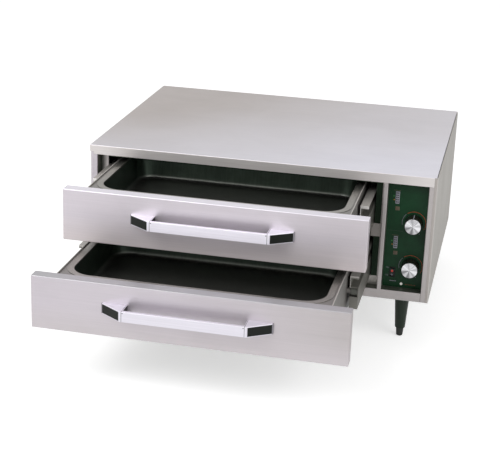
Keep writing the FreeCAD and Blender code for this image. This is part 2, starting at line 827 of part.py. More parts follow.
def handle(level):
    """Cast handle: flat bar, two wedge ends, and its two bolts."""
    z_mid = front_tops[level] - handle_drop
    z0 = z_mid - handle_height / 2
    points = [Vec(middle_x + x, y, z0) for x, y in handle_outline()]
    face = Part.Face(Part.makePolygon(points + [points[0]]))
    body = face.extrude(Vec(0, 0, handle_height))
    body = round_edges(body, 1.2, lambda p, e: is_upright(e) and p.y < -handle_foot - 1)
    body = round_edges(body, 0.7, lambda p, e: not is_upright(e) and p.y < -0.01
                       and abs(abs(p.z - z_mid) - handle_height / 2) < 0.01)
    recess_right = cap_block(level, 0.0, cap_depth + 1.0, -1.0)
    bores = [rod(x, -bolt_depth, z, bolt_radius + touch / 4, bolt_depth + 1, (0, 1, 0))
             for x, z in bolt_places(level)]
    body = cut(body, [recess_right, mirror_x(recess_right, middle_x)] + bores)
    bolts = []
    for x, z in bolt_places(level):
        shank = rod(x, -bolt_depth + 1, z, bolt_radius,
                    front_thickness + bolt_depth - 1, (0, 1, 0))
        head = rod(x, front_thickness, z, bolt_head_radius, bolt_head, (0, 1, 0))
        bolts.append(fuse([shank, head]))
    return [body] + bolts


def handle_caps(level):
    """Black inlays in the handle's slanted ends."""
    cap = cap_block(level, cap_gap, cap_depth - 0.2, 0.2)
    return [cap, mirror_x(cap, middle_x)]


# ================================================================ controls
def control_panel():
    """Recessed panel behind the control opening."""
    x0, x1 = control_left - panel_overlap + 1, control_right + panel_overlap
    plate = block(x0, x1, recess, recess + panel_sheet,
                  opening_bottom - panel_overlap, opening_top + panel_overlap)
    tools = [rod(dial_x, recess - 1, z, bushing_radius + hole_clear,
                 panel_sheet + 2, (0, 1, 0)) for z in dial_heights.values()]
    half_w = switch_width / 2 - switch_wall / 2
    half_h = switch_height / 2 - switch_wall / 2
    tools.append(block(switch_x - half_w, switch_x + half_w, recess - 1,
                       recess + panel_sheet + 1, switch_z - half_h, switch_z + half_h))
    tools.append(rod(pilot_x, recess - 1, pilot_z, pilot_radius + touch / 2,
                     panel_sheet + 2, (0, 1, 0)))
    return cut(plate, tools)


def thermostat(level):
    """Capillary thermostat: body with bushing, capillary and sensing bulb."""
    z = dial_heights[level]
    y0 = recess + panel_sheet
    half = thermostat_size / 2
    case = block(dial_x - half, dial_x + half, y0, y0 + thermostat_depth,
                 z - half, z + half)
    case = round_edges(case, 3.0, lambda p, e: abs(abs(p.x - dial_x) - half) < 0.01
                       and abs(abs(p.z - z) - half) < 0.01)
    bushing = rod(dial_x, recess - panel_sheet, z, bushing_radius,
                  2 * panel_sheet + 1, (0, 1, 0))
    bore = rod(dial_x, recess - 3, z, shaft_radius + shaft_gap,
               thermostat_depth - 6, (0, 1, 0))
    body = case.fuse(bushing).cut(bore)
    bulb_x = middle_x + cavity_half + bulb_radius
    bulb_y = y0 + thermostat_depth + bulb_setback
    bulb = rod(bulb_x, bulb_y, z, bulb_radius, bulb_length, (0, 1, 0))
    start = Vec(dial_x, y0 + thermostat_depth, z)
    end = Vec(bulb_x, bulb_y, z)
    bend = Vec(0, capillary_bend, 0)
    points = [start, start + bend, end - bend, end]
    line = Part.BSplineCurve()
    line.interpolate(points)
    path = Part.Wire(line.toShape())
    tangent = line.tangent(line.FirstParameter)[0]
    ring = Part.Wire(Part.makeCircle(capillary_radius, start, tangent))
    capillary = path.makePipeShell([ring], True, False)
    return [fuse([body, bulb, capillary])]


def knob(level):
    """Fluted knob with the spindle it turns."""
    z = dial_heights[level]
    foot = recess - knob_gap
    nose = foot - knob_height
    body = Part.makeCone(knob_radius, knob_front_radius, knob_height,
                         Vec(dial_x, foot, z), Vec(0, -1, 0))
    body = round_edges(body, 1.2, lambda p, e: p.y < nose + 0.01)
    tools = []
    for i in range(knob_flutes):
        a = 2 * math.pi * i / knob_flutes
        reach = knob_radius + flute_radius * 0.55
        tools.append(Part.makeCylinder(
            flute_radius, knob_height, Vec(dial_x + reach * math.sin(a), foot - 4.0,
                                           z + reach * math.cos(a)), Vec(0, -1, 0)))
    tools.append(rod(dial_x, nose - 1, z, face_radius + touch / 2,
                     face_thickness + 1, (0, 1, 0)))
    spindle_end = recess + thermostat_depth - 12.0
    spindle_start = foot - knob_height / 2
    tools.append(rod(dial_x, spindle_start, z, shaft_radius + shaft_gap,
                     knob_height, (0, 1, 0)))
    tools.append(rod(dial_x, recess - panel_sheet - knob_gap, z,
                     bushing_radius + hole_clear, knob_height, (0, 1, 0)))
    body = cut(body, tools)
    spindle = rod(dial_x, spindle_start, z, shaft_radius,
                  spindle_end - spindle_start, (0, 1, 0))
    return [body, spindle]


def knob_face(level):
    """Spun metal disc set in the knob's front."""
    z = dial_heights[level]
    nose = recess - knob_gap - knob_height
    disc = rod(dial_x, nose, z, face_radius, face_thickness, (0, 1, 0))
    return round_edges(disc, 0.3, lambda p, e: p.y < nose + 0.01)


def switch_housing():
    """Bezel and well that the rocker turns in."""
    hw, hh = switch_width / 2, switch_height / 2
    y0 = recess - switch_bezel
    y1 = recess + panel_sheet + switch_depth
    bezel = block(switch_x - hw, switch_x + hw, y0, recess, switch_z - hh,
                  switch_z + hh)
    bezel = round_edges(bezel, 0.6, lambda p, e: p.y < y0 + 0.01)
    well_w, well_h = hw - switch_wall / 2 - 0.1, hh - switch_wall / 2 - 0.1
    well = block(switch_x - well_w, switch_x + well_w, y0 + 0.5, y1,
                 switch_z - well_h, switch_z + well_h)
    inner_w, inner_h = rocker_half_width() + rocker_gap, rocker_half_height() + rocker_gap
    hollow = block(switch_x - inner_w, switch_x + inner_w, y0 - 1, y1 - 2,
                   switch_z - inner_h, switch_z + inner_h)
    pin = rod(switch_x - hw, rocker_axis_y(), switch_z,
              rocker_pin_radius + running_fit, switch_width, (1, 0, 0))
    return cut(bezel.fuse(well), [hollow, pin])


def rocker_half_width():
    return switch_width / 2 - switch_wall - rocker_gap


def rocker_half_height():
    return switch_height / 2 - switch_wall - rocker_gap


def rocker_axis_y():
    return recess + rocker_pin_behind


def rocker_body():
    """Rocker with a shallow V face and pivot pins, tilted to its on position."""
    hw, hh = rocker_half_width(), rocker_half_height()
    y_axis = rocker_axis_y()
    drum = rod(switch_x - hw, y_axis, switch_z, hh, 2 * hw, (1, 0, 0))
    front = recess - switch_bezel - rocker_proud
    band = block(switch_x - hw, switch_x + hw, front, y_axis + 5.0, switch_z - hh,
                 switch_z + hh)
    body = drum.common(band)
    dip = math.tan(math.radians(rocker_tilt)) * hh
    for side in (-1, 1):
        tip = switch_z + side * (hh + 1)
        wedge = Part.Face(Part.makePolygon([
            Vec(switch_x - hw - 1, front + dip, switch_z),
            Vec(switch_x - hw - 1, front - 4, switch_z),
            Vec(switch_x - hw - 1, front - 4, tip),
            Vec(switch_x - hw - 1, front, tip),
            Vec(switch_x - hw - 1, front + dip, switch_z)]))
        body = body.cut(wedge.extrude(Vec(2 * hw + 2, 0, 0)))
    reach = rocker_gap + switch_wall * 0.4
    pin = rod(switch_x - hw - reach, y_axis, switch_z, rocker_pin_radius,
              2 * (hw + reach), (1, 0, 0))
    return body.fuse(pin).removeSplitter()


def lens_seat():
    """Round pocket in the rocker's upper half."""
    z = switch_z + rocker_half_height() * 0.45
    front = recess - switch_bezel - rocker_proud
    floor = front + math.tan(math.radians(rocker_tilt)) * rocker_half_height() + lens_depth
    return rod(switch_x, front - lens_depth, z, lens_radius,
               floor - front + lens_depth, (0, 1, 0))


def tilt(shape):
    """Turn about the rocker's pins to the on position."""
    copy = shape.copy()
    copy.rotate(Vec(switch_x, rocker_axis_y(), switch_z), Vec(1, 0, 0), rocker_tilt)
    return copy


def rocker():
    """Rocker without its lens, in the on position."""
    return tilt(rocker_body().cut(lens_seat()))


def rocker_lens():
    """Red lens, flush in the rocker."""
    return tilt(lens_seat().common(rocker_body()))


def pilot_lens():
    """Small round pilot lamp lens."""
    y = recess - pilot_head
    stem = rod(pilot_x, y, pilot_z, pilot_radius, pilot_head + panel_sheet + pilot_stem,
               (0, 1, 0))
    head = rod(pilot_x, y, pilot_z, pilot_radius + 0.6, pilot_head, (0, 1, 0))
    return round_edges(fuse([stem, head]), 0.5, lambda p, e: p.y < y + 0.01)


def terminal_block():
    """Terminal strip on its bracket in the control compartment."""
    x1 = body_width - 2 * skin - touch - bracket_gap
    x0 = x1 - bracket_width
    y0 = cavity_back_y - bracket_setback
    y1 = y0 + bracket_length
    z0 = base_top
    t = frame_sheet
    bracket = fuse([block(x0, x1, y0, y1, z0, z0 + t),
                    block(x0, x0 + t, y0, y1, z0, z0 + bracket_height)])
    edge = (bracket_length - (terminal_count - 1) * terminal_pitch) / 2
    strip_z = z0 + terminal_up
    strip = block(x0 + t, x0 + t + terminal_strip, y0 + edge / 2, y1 - edge / 2,
                  strip_z, strip_z + terminal_height)
    wells = [rod(x0 + t + terminal_strip / 2, y0 + edge + terminal_pitch * i,
                 strip_z + terminal_height / 2, terminal_pitch / 4,
                 terminal_strip, (1, 0, 0)) for i in range(terminal_count)]
    return [bracket, cut(strip, wells)]


# ================================================================ feet, rear
def leg(x, y):
    """Tapered leg with a collar and its threaded stud."""
    z1 = -body_height
    z0 = z1 - leg_height + foot_length
    cone = Part.makeCone(leg_top_radius, leg_low_radius, z1 - leg_collar - z0,
                         Vec(x, y, z1 - leg_collar), Vec(0, 0, -1))
    collar = rod(x, y, z1 - leg_collar, leg_top_radius + leg_collar_lip, leg_collar,
                 (0, 0, 1))
    collar = round_edges(collar, leg_collar_lip * 0.8,
                         lambda p, e: p.z < z1 - leg_collar + 0.01)
    stud = rod(x, y, z1, stud_radius, stud_length, (0, 0, 1))
    socket = rod(x, y, z0 - 1, stud_radius + touch / 2, foot_stud + 2, (0, 0, 1))
    return fuse([cone, collar, stud]).cut(socket)


def leg_nut(x, y):
    """Hexagon nut on a leg's stud."""
    radius = stud_radius * 1.8
    points = [Vec(x + radius * math.cos(a), y + radius * math.sin(a), base_top)
              for a in [math.pi / 3 * i for i in range(7)]]
    nut = Part.Face(Part.makePolygon(points)).extrude(Vec(0, 0, nut_height))
    return nut.cut(rod(x, y, base_top - 1, stud_radius + touch / 4, nut_height + 2,
                       (0, 0, 1)))


def leg_foot(x, y):
    """Screw-adjusted foot with a rounded tip."""
    z0 = -body_height - leg_height
    z1 = z0 + foot_length - touch
    cone = Part.makeCone(foot_tip_radius, foot_radius, z1 - z0, Vec(x, y, z0),
                         Vec(0, 0, 1))
    cone = round_edges(cone, foot_rounding, lambda p, e: p.z < z0 + 0.01)
    stud = rod(x, y, z1, stud_radius, foot_stud, (0, 0, 1))
    return fuse([cone, stud])


def cord_gland():
    """Bushing for the mains lead, with its lock nut."""
    x, z = body_width - gland_side, -body_height + gland_up
    y = body_depth
    neck = gland_radius * 0.72
    parts = [rod(x, y - 10, z, neck, 10 + gland_length - 0.5, (0, 1, 0)),
             rod(x, y, z, gland_radius, gland_length * 0.5, (0, 1, 0)),
             Part.makeCone(gland_radius * 0.9, neck, gland_length * 0.5,
                           Vec(x, y + gland_length * 0.5, z), Vec(0, 1, 0))]
    body = fuse(parts).cut(rod(x, y - 20, z, gland_bore_radius, 50, (0, 1, 0)))
    radius = gland_radius * 1.1
    points = [Vec(x + radius * math.cos(a), y - skin - 5, z + radius * math.sin(a))
              for a in [math.pi / 3 * i for i in range(7)]]
    nut = Part.Face(Part.makePolygon(points)).extrude(Vec(0, 5.0, 0))
    nut = nut.cut(rod(x, y - 20, z, neck + touch / 4, 30, (0, 1, 0)))
    return [body, nut]


def build():
    """Write every node of the cabinet and its two drawers."""
    os.makedirs("parts", exist_ok=True)
    export("top_cover", [top_cover()])
    export("side_panel_left", [side_panel_left()])
    export("side_panel_right", [side_panel_right()])
    export("base_pan", [base_pan()])
    export("back_panel", [back_panel()])
    export("front_frame", [front_frame()])
    export("cavity_liner", [cavity_liner()])
    export("cavity_back", [cavity_back()])
    export("cavity_front_flange", [cavity_front_flange()])
    export("drawer_divider", [drawer_divider()])
    export("insulation", insulation())
    export("control_panel", [control_panel()])
    export("terminal_block", terminal_block())
    export("switch_housing", [switch_housing()])
    export("rocker", [rocker()])
    export("rocker_lens", [rocker_lens()])
    export("pilot_lens", [pilot_lens()])
    export("cord_gland", cord_gland())
    names = ("front_left", "front_right", "rear_left", "rear_right")
    for name, (x, y) in zip(names, leg_places()):
        export("leg_" + name, [leg(x, y)])
    export("leg_feet", [leg_foot(x, y) for x, y in leg_places()])
    export("cabinet_fasteners", back_screws() + [leg_nut(x, y) for x, y in leg_places()])
    for level in ("upper", "lower"):
        pull = pulls[level]
        export("thermostat_" + level, thermostat(level))
        export("knob_" + level, knob(level))
        export("knob_face_" + level, [knob_face(level)])
        export("heating_element_" + level, heating_element(level))
        for side_name, side in (("left", -1), ("right", 1)):
            export("track_%s_%s" % (level, side_name), [cabinet_track(level, side)])
            export("slide_rail_%s_%s" % (level, side_name),
                   slide_rail(level, side), pull / 2)
        export("rail_rollers_%s_front" % level,
               rail_rollers(level, track_wheel_front_y), pull / 2)
        export("rail_rollers_%s_rear" % level,
               rail_rollers(level, track_wheel_rear_y), pull / 2)
        export("drawer_rollers_%s_front" % level,
               drawer_rollers(level, wheel_front_y), pull)
        export("drawer_rollers_%s_rear" % level,
               drawer_rollers(level, wheel_rear_y), pull)
        export("drawer_front_" + level, [front_skin(level)], pull)
        export("drawer_front_liner_" + level, [front_liner(level)], pull)
        export("drawer_frame_" + level, drawer_frame(level), pull)
        export("pan_" + level, [pan(level)], pull)
        export("handle_" + level, handle(level), pull)
        export("handle_caps_" + level, handle_caps(level), pull)


build()
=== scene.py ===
"""Finishes, printed marks and studio stage of a countertop warmer with two heated drawers."""

import math

import bmesh
import bpy
from mathutils import Matrix, Vector


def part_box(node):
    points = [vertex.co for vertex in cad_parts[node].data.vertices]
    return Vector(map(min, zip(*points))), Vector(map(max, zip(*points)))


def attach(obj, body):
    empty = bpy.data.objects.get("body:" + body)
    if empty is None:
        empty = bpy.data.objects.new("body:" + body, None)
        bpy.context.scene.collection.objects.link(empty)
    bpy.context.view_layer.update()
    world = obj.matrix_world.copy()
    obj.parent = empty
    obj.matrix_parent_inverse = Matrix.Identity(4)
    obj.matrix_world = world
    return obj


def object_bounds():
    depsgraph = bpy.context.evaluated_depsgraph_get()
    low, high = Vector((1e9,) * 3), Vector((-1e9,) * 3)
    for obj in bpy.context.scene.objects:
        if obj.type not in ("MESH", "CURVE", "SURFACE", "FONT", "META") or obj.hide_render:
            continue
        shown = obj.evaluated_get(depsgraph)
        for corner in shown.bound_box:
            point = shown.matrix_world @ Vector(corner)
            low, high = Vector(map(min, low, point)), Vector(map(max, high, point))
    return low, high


bl_info = {
    "name": "Warming Drawer Finisher",
    "version": (1, 0, 0),
    "blender": (4, 5, 0),
    "location": "3D View > Sidebar > Warmer",
    "description": "Finishes, printed marks and stage of a two-drawer countertop warmer",
    "category": "Object",
}

MM = 0.001
LEVELS = ("upper", "lower")
SIDES = ("left", "right")
ENDS = ("front", "rear")

# The upper left corner of each scale's strip, in from the panel's left and down from the top.
SCALE_PLACES = (("upper", 14.6 * MM, 43.8 * MM), ("lower", 17.2 * MM, 142.8 * MM))

# The scale beside each knob, in millimetres from the upper left corner of its strip. A plate
# has its name, ink, left, right, bottom, top and corner radius; a dot its name, ink and place.
SCALE_PLATES = (
    ("scale_strip", "Scale ink", 0.0, 8.6, -27.0, 0.0, 0.8),
    ("scale_marks", "Dark ink", 1.2, 3.8, -4.8, -2.4, 0.2),
    ("scale_line", "Brown ink", -4.7, 9.6, 1.9, 2.8, 0.3),
    ("scale_plate", "Brown ink", 1.0, 10.0, -41.5, -33.0, 0.6),
)
SCALE_DOTS = (
    ("lamp_dot_green", "Green ink", -3.6, -10.5),
    ("lamp_dot_amber", "Amber ink", -2.6, -18.7),
)
SCALE_MARK_ROWS = 5
SCALE_MARK_PITCH = 4.9 * MM
SCALE_MARK_COLUMN = 3.4 * MM
SCALE_DOT_RADIUS = 1.3 * MM

# Painted light of each drawer: brightness of its front and its handle casting, evenness of
# the front's painted shading, painted shade and metal share at the front's foot, painted light on
# its upper lip, painted highlight on its rails' cut ends and height of their bright upper lip.
DRAWER_LOOKS = {
    "upper": {
        "lift": 1.09, "cast_lift": 1.14, "evenness": 1.4,
        "foot_painted_shade": (0.66, 0.60, 0.61), "foot_metal": 0.35, "lip_painted_light": (0.72, 0.69, 0.75),
        "rail_painted_highlight": (0.95, 0.93, 0.90), "rail_lip": 5.0 * MM},
    "lower": {
        "lift": 1.0, "cast_lift": 0.93, "evenness": 0.8,
        "foot_painted_shade": (0.58, 0.54, 0.56), "foot_metal": 0.72, "lip_painted_light": (0.42, 0.41, 0.43),
        "rail_painted_highlight": (0.55, 0.53, 0.50), "rail_lip": 2.6 * MM},
}

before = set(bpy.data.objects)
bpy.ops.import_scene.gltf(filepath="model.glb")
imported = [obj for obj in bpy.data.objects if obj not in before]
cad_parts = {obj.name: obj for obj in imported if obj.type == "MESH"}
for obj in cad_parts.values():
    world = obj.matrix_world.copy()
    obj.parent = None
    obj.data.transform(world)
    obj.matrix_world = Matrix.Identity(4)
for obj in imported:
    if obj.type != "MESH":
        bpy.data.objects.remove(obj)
cad_low, cad_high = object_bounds()
panel_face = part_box("control_panel")[0].y
panel_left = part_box("control_panel")[0].x + 4.0 * MM
handle_middle = (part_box("handle_upper")[0].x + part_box("handle_upper")[1].x) / 2


def box_middle(node):
    """Middle of a node's box."""
    low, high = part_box(node)
    return (low + high) / 2


# ---------------------------------------------------------------- sizes and colours


class WarmerFinishes(bpy.types.PropertyGroup):
    """Colours and surface values of the warmer's metals, plastics and lenses."""

    steel_colour: bpy.props.FloatVectorProperty(
        name="Stainless steel", description="Reflected colour of the brushed sheet",
        subtype="COLOR", size=3, min=0, max=1, default=(0.585, 0.545, 0.585))
    # Shaded end of the painted shading on the front frame and the drawer fronts.
    painted_shade_colour: bpy.props.FloatVectorProperty(
        name="Dull steel", description="Colour of the sheet where it has dimmed",
        subtype="COLOR", size=3, min=0, max=1, default=(0.47, 0.44, 0.435))
    # Lit and shaded ends of the painted shading across the top, lighter to the front right.
    top_colour: bpy.props.FloatVectorProperty(
        name="Top cover", description="Reflected colour of the top",
        subtype="COLOR", size=3, min=0, max=1, default=(0.66, 0.65, 0.71))
    top_painted_shade_colour: bpy.props.FloatVectorProperty(
        name="Dull top", description="Colour of the top where it has dimmed",
        subtype="COLOR", size=3, min=0, max=1, default=(0.41, 0.37, 0.355))
    # Painted shade: the side skins and back cover are the cabinet's steel given a darker colour.
    shaded_side_colour: bpy.props.FloatVectorProperty(
        name="Side skins", description="Reflected colour of the wrapped side skins",
        subtype="COLOR", size=3, min=0, max=1, default=(0.34, 0.32, 0.29))
    steel_roughness: bpy.props.FloatProperty(
        name="Steel roughness", description="Roughness of the brushed sheet",
        subtype="FACTOR", min=0, max=1, default=0.38)
    grain_depth: bpy.props.FloatProperty(
        name="Grain depth", description="Contrast of the brushed lines",
        subtype="FACTOR", min=0, max=1, default=0.07)
    handle_colour: bpy.props.FloatVectorProperty(
        name="Handle casting", description="Reflected colour of the cast handles",
        subtype="COLOR", size=3, min=0, max=1, default=(0.80, 0.775, 0.85))
    handle_seam: bpy.props.FloatProperty(
        name="Handle seam", description="Distance of the bar's end seams from its middle",
        subtype="DISTANCE", unit="LENGTH", min=0.05, max=0.15, default=118.2 * MM)
    handle_pin: bpy.props.FloatProperty(
        name="Handle pin", description="Distance of the bar's pins from its middle",
        subtype="DISTANCE", unit="LENGTH", min=0.05, max=0.15, default=115.9 * MM)
    skirt_depth: bpy.props.FloatProperty(
        name="Skirt depth", description="Height of the plates under the drawer frames' walls",
        subtype="DISTANCE", unit="LENGTH", min=0.005, max=0.024, default=23.5 * MM)
    rail_colour: bpy.props.FloatVectorProperty(
        name="Plated rails", description="Reflected colour of the plated slide rails",
        subtype="COLOR", size=3, min=0, max=1, default=(0.42, 0.40, 0.375))
    # Painted shade: the well's near-black colour stands for the shade inside the drawer; heat
    # stains go over it.
    pan_colour: bpy.props.FloatVectorProperty(
        name="Pan inside", description="Shade-darkened colour of the pan's well",
        subtype="COLOR", size=3, min=0, max=1, default=(0.045, 0.060, 0.048))
    pan_rim_colour: bpy.props.FloatVectorProperty(
        name="Pan rim", description="Colour of the pan's flange",
        subtype="COLOR", size=3, min=0, max=1, default=(0.27, 0.26, 0.24))
    # Painted shade: the cavity's steel given a near-black colour, with heat stains over it.
    liner_colour: bpy.props.FloatVectorProperty(
        name="Cavity liner", description="Shade-darkened colour of the cavity",
        subtype="COLOR", size=3, min=0, max=1, default=(0.040, 0.050, 0.040))
    panel_colour: bpy.props.FloatVectorProperty(
        name="Control panel", description="Enamel of the control panel",
        subtype="COLOR", size=3, min=0, max=1, default=(0.004, 0.038, 0.013))
    knob_face_colour: bpy.props.FloatVectorProperty(
        name="Knob face", description="Reflected colour of the spun discs",
        subtype="COLOR", size=3, min=0, max=1, default=(0.57, 0.57, 0.59))
    plastic_colour: bpy.props.FloatVectorProperty(
        name="Black plastic", description="Colour of the knobs, caps and switch",
        subtype="COLOR", size=3, min=0, max=1, default=(0.006, 0.008, 0.006))
    leg_colour: bpy.props.FloatVectorProperty(
        name="Leg enamel", description="Colour of the legs",
        subtype="COLOR", size=3, min=0, max=1, default=(0.005, 0.017, 0.006))
    red_lens_colour: bpy.props.FloatVectorProperty(
        name="Red lens", description="Colour of the switch's lens",
        subtype="COLOR", size=3, min=0, max=1, default=(0.62, 0.05, 0.03))
    pale_lens_colour: bpy.props.FloatVectorProperty(
        name="Pale lens", description="Colour of the pilot lens",
        subtype="COLOR", size=3, min=0, max=1, default=(0.72, 0.70, 0.66))


class WarmerPrints(bpy.types.PropertyGroup):
    """Sizes and inks of the marks on the control panel and the knobs."""

    ink_thickness: bpy.props.FloatProperty(
        name="Ink thickness", description="How far the ink stands off the panel",
        subtype="DISTANCE", unit="LENGTH", min=0.00005, max=0.001, default=0.15 * MM)
    ring_radius: bpy.props.FloatProperty(
        name="Dial ring radius", description="Radius of the coloured arc round a knob",
        subtype="DISTANCE", unit="LENGTH", min=0.02, max=0.03, default=24.8 * MM)
    ring_width: bpy.props.FloatProperty(
        name="Dial ring width", description="Width of the coloured arc",
        subtype="DISTANCE", unit="LENGTH", min=0.0004, max=0.003, default=0.9 * MM)
    pointer_upper: bpy.props.FloatProperty(
        name="Upper pointer", description="Angle of the upper knob's pointer from the right",
        subtype="ANGLE", unit="ROTATION", min=0, max=6.3, default=math.radians(89))
    pointer_lower: bpy.props.FloatProperty(
        name="Lower pointer", description="Angle of the lower knob's pointer from the right",
        subtype="ANGLE", unit="ROTATION", min=0, max=6.3, default=math.radians(222))
    orange_ink: bpy.props.FloatVectorProperty(
        name="Orange ink", description="Hot part of the dial ring",
        subtype="COLOR", size=3, min=0, max=1, default=(0.42, 0.065, 0.015))
    pale_ink: bpy.props.FloatVectorProperty(
        name="Pale ink", description="Scales, legends and cool part of the ring",
        subtype="COLOR", size=3, min=0, max=1, default=(0.40, 0.40, 0.47))
    brown_ink: bpy.props.FloatVectorProperty(
        name="Brown ink", description="Lines and small plates",
        subtype="COLOR", size=3, min=0, max=1, default=(0.10, 0.075, 0.045))
    dark_ink: bpy.props.FloatVectorProperty(
        name="Dark ink", description="Marks on the pale scales",
        subtype="COLOR", size=3, min=0, max=1, default=(0.02, 0.022, 0.02))


class WarmerStage(bpy.types.PropertyGroup):
    """Camera, lamps and floor."""

    camera_place: bpy.props.FloatVectorProperty(
        name="Camera place", description="Camera position in front of the warmer",
        subtype="TRANSLATION", unit="LENGTH", size=3, default=(0.52645, -2.6773, 1.1731))
    camera_azimuth: bpy.props.FloatProperty(
        name="Camera azimuth", description="Turn of the camera about the vertical",
        subtype="ANGLE", unit="ROTATION", default=math.radians(11.763))
    camera_elevation: bpy.props.FloatProperty(
        name="Camera elevation", description="How far the camera looks down",
        subtype="ANGLE", unit="ROTATION", default=math.radians(19.465))
    camera_roll: bpy.props.FloatProperty(
        name="Camera roll", description="Roll about the line of sight",
        subtype="ANGLE", unit="ROTATION", default=math.radians(2.18))
    lens: bpy.props.FloatProperty(
        name="Lens", description="Focal length in millimetres on a 36 mm sensor",
        min=20, max=300, default=94.85)
    key_power: bpy.props.FloatProperty(
        name="Key lamp", description="Power of the large front softbox",
        subtype="POWER", unit="POWER", min=0, max=1000, default=100)
    fill_power: bpy.props.FloatProperty(
        name="Fill lamp", description="Power of the side softbox",
        subtype="POWER", unit="POWER", min=0, max=1000, default=40)
    room_level: bpy.props.FloatProperty(
        name="Room light", description="Strength of the even light from all round",
        min=0, max=2, default=0.5)
    floor_colour: bpy.props.FloatVectorProperty(
        name="Floor", description="Colour of the plain floor",
        subtype="COLOR", size=3, min=0, max=1, default=(0.80, 0.80, 0.80))


# ---------------------------------------------------------------- node helpers


# Sockets of a mix node that mixes colours: its names stand for several kinds of value.
MIX_SHARE, MIX_FIRST, MIX_SECOND = 0, 6, 7
MIX_RESULT = 2


def feed(tree, socket, value):
    """Links or sets a node's input; a plain colour is given its alpha."""
    if isinstance(value, bpy.types.NodeSocket):
        tree.links.new(value, socket)
    elif socket.type == "RGBA" and len(value) == 3:
        socket.default_value = (*value, 1.0)
    else:
        socket.default_value = value


def add_node(tree, kind, settings=None, inputs=None):
    """One node with its settings and input values or links."""
    node = tree.nodes.new(kind)
    for name, value in (settings or {}).items():
        setattr(node, name, value)
    for name, value in (inputs or {}).items():
        feed(tree, node.inputs[name], value)
    return node


def new_group(name, inputs, outputs):
    """Empty shader group with named sockets, its tree and its two end nodes."""
    tree = bpy.data.node_groups.new(name, "ShaderNodeTree")
    for label, kind, value in inputs:
        socket = tree.interface.new_socket(label, in_out="INPUT", socket_type=kind)
        if value is not None:
            socket.default_value = value
    for label, kind in outputs:
        tree.interface.new_socket(label, in_out="OUTPUT", socket_type=kind)
    start = tree.nodes.new("NodeGroupInput")
    end = tree.nodes.new("NodeGroupOutput")
    return tree, start, end


def noise(tree, vector, scale, detail=2.0, roughness=0.5, distortion=0.0):
    """Output of a noise texture."""
    node = add_node(tree, "ShaderNodeTexNoise", None, {
        "Vector": vector, "Scale": scale, "Detail": detail,
        "Roughness": roughness, "Distortion": distortion})
    return node.outputs["Fac"]


def spread(tree, value, low, high, to_low, to_high):
    """Value moved from one range to another, held inside it."""
    node = add_node(tree, "ShaderNodeMapRange", {"clamp": True}, {
        "Value": value, "From Min": low, "From Max": high,
        "To Min": to_low, "To Max": to_high})
    return node.outputs["Result"]


def figure(tree, operation, first, second=None):
    """Result of one arithmetic step."""
    node = add_node(tree, "ShaderNodeMath", {"operation": operation})
    for socket, value in zip(node.inputs, (first, second)):
        if value is not None:
            feed(tree, socket, value)
    return node.outputs["Value"]


def tinted(tree, colour, tone):
    """Colour darkened or lightened by a tone around one."""
    grey = add_node(tree, "ShaderNodeCombineColor", None,
                    {"Red": tone, "Green": tone, "Blue": tone})
    node = add_node(
        tree, "ShaderNodeMix",
        {"data_type": "RGBA", "blend_type": "MULTIPLY", "clamp_result": True},
        {MIX_SHARE: 1.0, MIX_FIRST: colour, MIX_SECOND: grey.outputs["Color"]})
    return node.outputs[MIX_RESULT]


def blended(tree, share, first, second):
    """Colour between two others."""
    node = add_node(tree, "ShaderNodeMix", {"data_type": "RGBA"},
                    {MIX_SHARE: share, MIX_FIRST: first, MIX_SECOND: second})
    return node.outputs[MIX_RESULT]


# ---------------------------------------------------------------- shared effects


VECTOR_IN = ("Vector", "NodeSocketVector", None)
TONE_AND_HEIGHT = (("Tone", "NodeSocketFloat"), ("Height", "NodeSocketFloat"))


def make_sheet_grain():
    """Fine brushed lines over broad drawn streaks."""
    tree, start, end = new_group(
        "Sheet grain",
        [VECTOR_IN, ("Depth", "NodeSocketFloat", 0.15)],
        TONE_AND_HEIGHT)
    fine = noise(tree, start.outputs["Vector"], 1.0, 4.0, 0.65)
    broad = noise(tree, start.outputs["Vector"], 0.09, 2.0, 0.5)
    both = figure(tree, "ADD", figure(tree, "MULTIPLY", fine, 0.8),
                  figure(tree, "MULTIPLY", broad, 0.2))
    centred = figure(tree, "SUBTRACT", both, 0.5)
    swing = figure(tree, "MULTIPLY", figure(tree, "MULTIPLY", centred, 3.0),
                   start.outputs["Depth"])
    tree.links.new(figure(tree, "ADD", swing, 1.0), end.inputs["Tone"])
    tree.links.new(fine, end.inputs["Height"])


def make_sheet_painted_shading():
    """Painted shading: slow change from lit to shaded steel across a sheet."""
    tree, start, end = new_group(
        "Sheet painted shading",
        [VECTOR_IN, ("Bright", "NodeSocketColor", None),
         ("Shadowed", "NodeSocketColor", None), ("Level", "NodeSocketFloat", 1.0),
         ("Along X", "NodeSocketFloat", 0.0), ("Along Y", "NodeSocketFloat", 0.0)],
        [("Color", "NodeSocketColor")])
    parts = add_node(tree, "ShaderNodeSeparateXYZ", None, {"Vector": start.outputs["Vector"]})
    share = figure(tree, "ADD",
                   figure(tree, "MULTIPLY", parts.outputs["X"], start.outputs["Along X"]),
                   figure(tree, "MULTIPLY", parts.outputs["Y"], start.outputs["Along Y"]))
    share = figure(tree, "ADD", share, start.outputs["Level"])
    cloud = noise(tree, start.outputs["Vector"], 2.6, 2.0, 0.4)
    share = figure(tree, "ADD", share, spread(tree, cloud, 0.3, 0.7, -0.12, 0.12))
    share = spread(tree, share, 0.0, 1.0, 0.0, 1.0)
    colour = blended(tree, share, start.outputs["Shadowed"], start.outputs["Bright"])
    tree.links.new(colour, end.inputs["Color"])


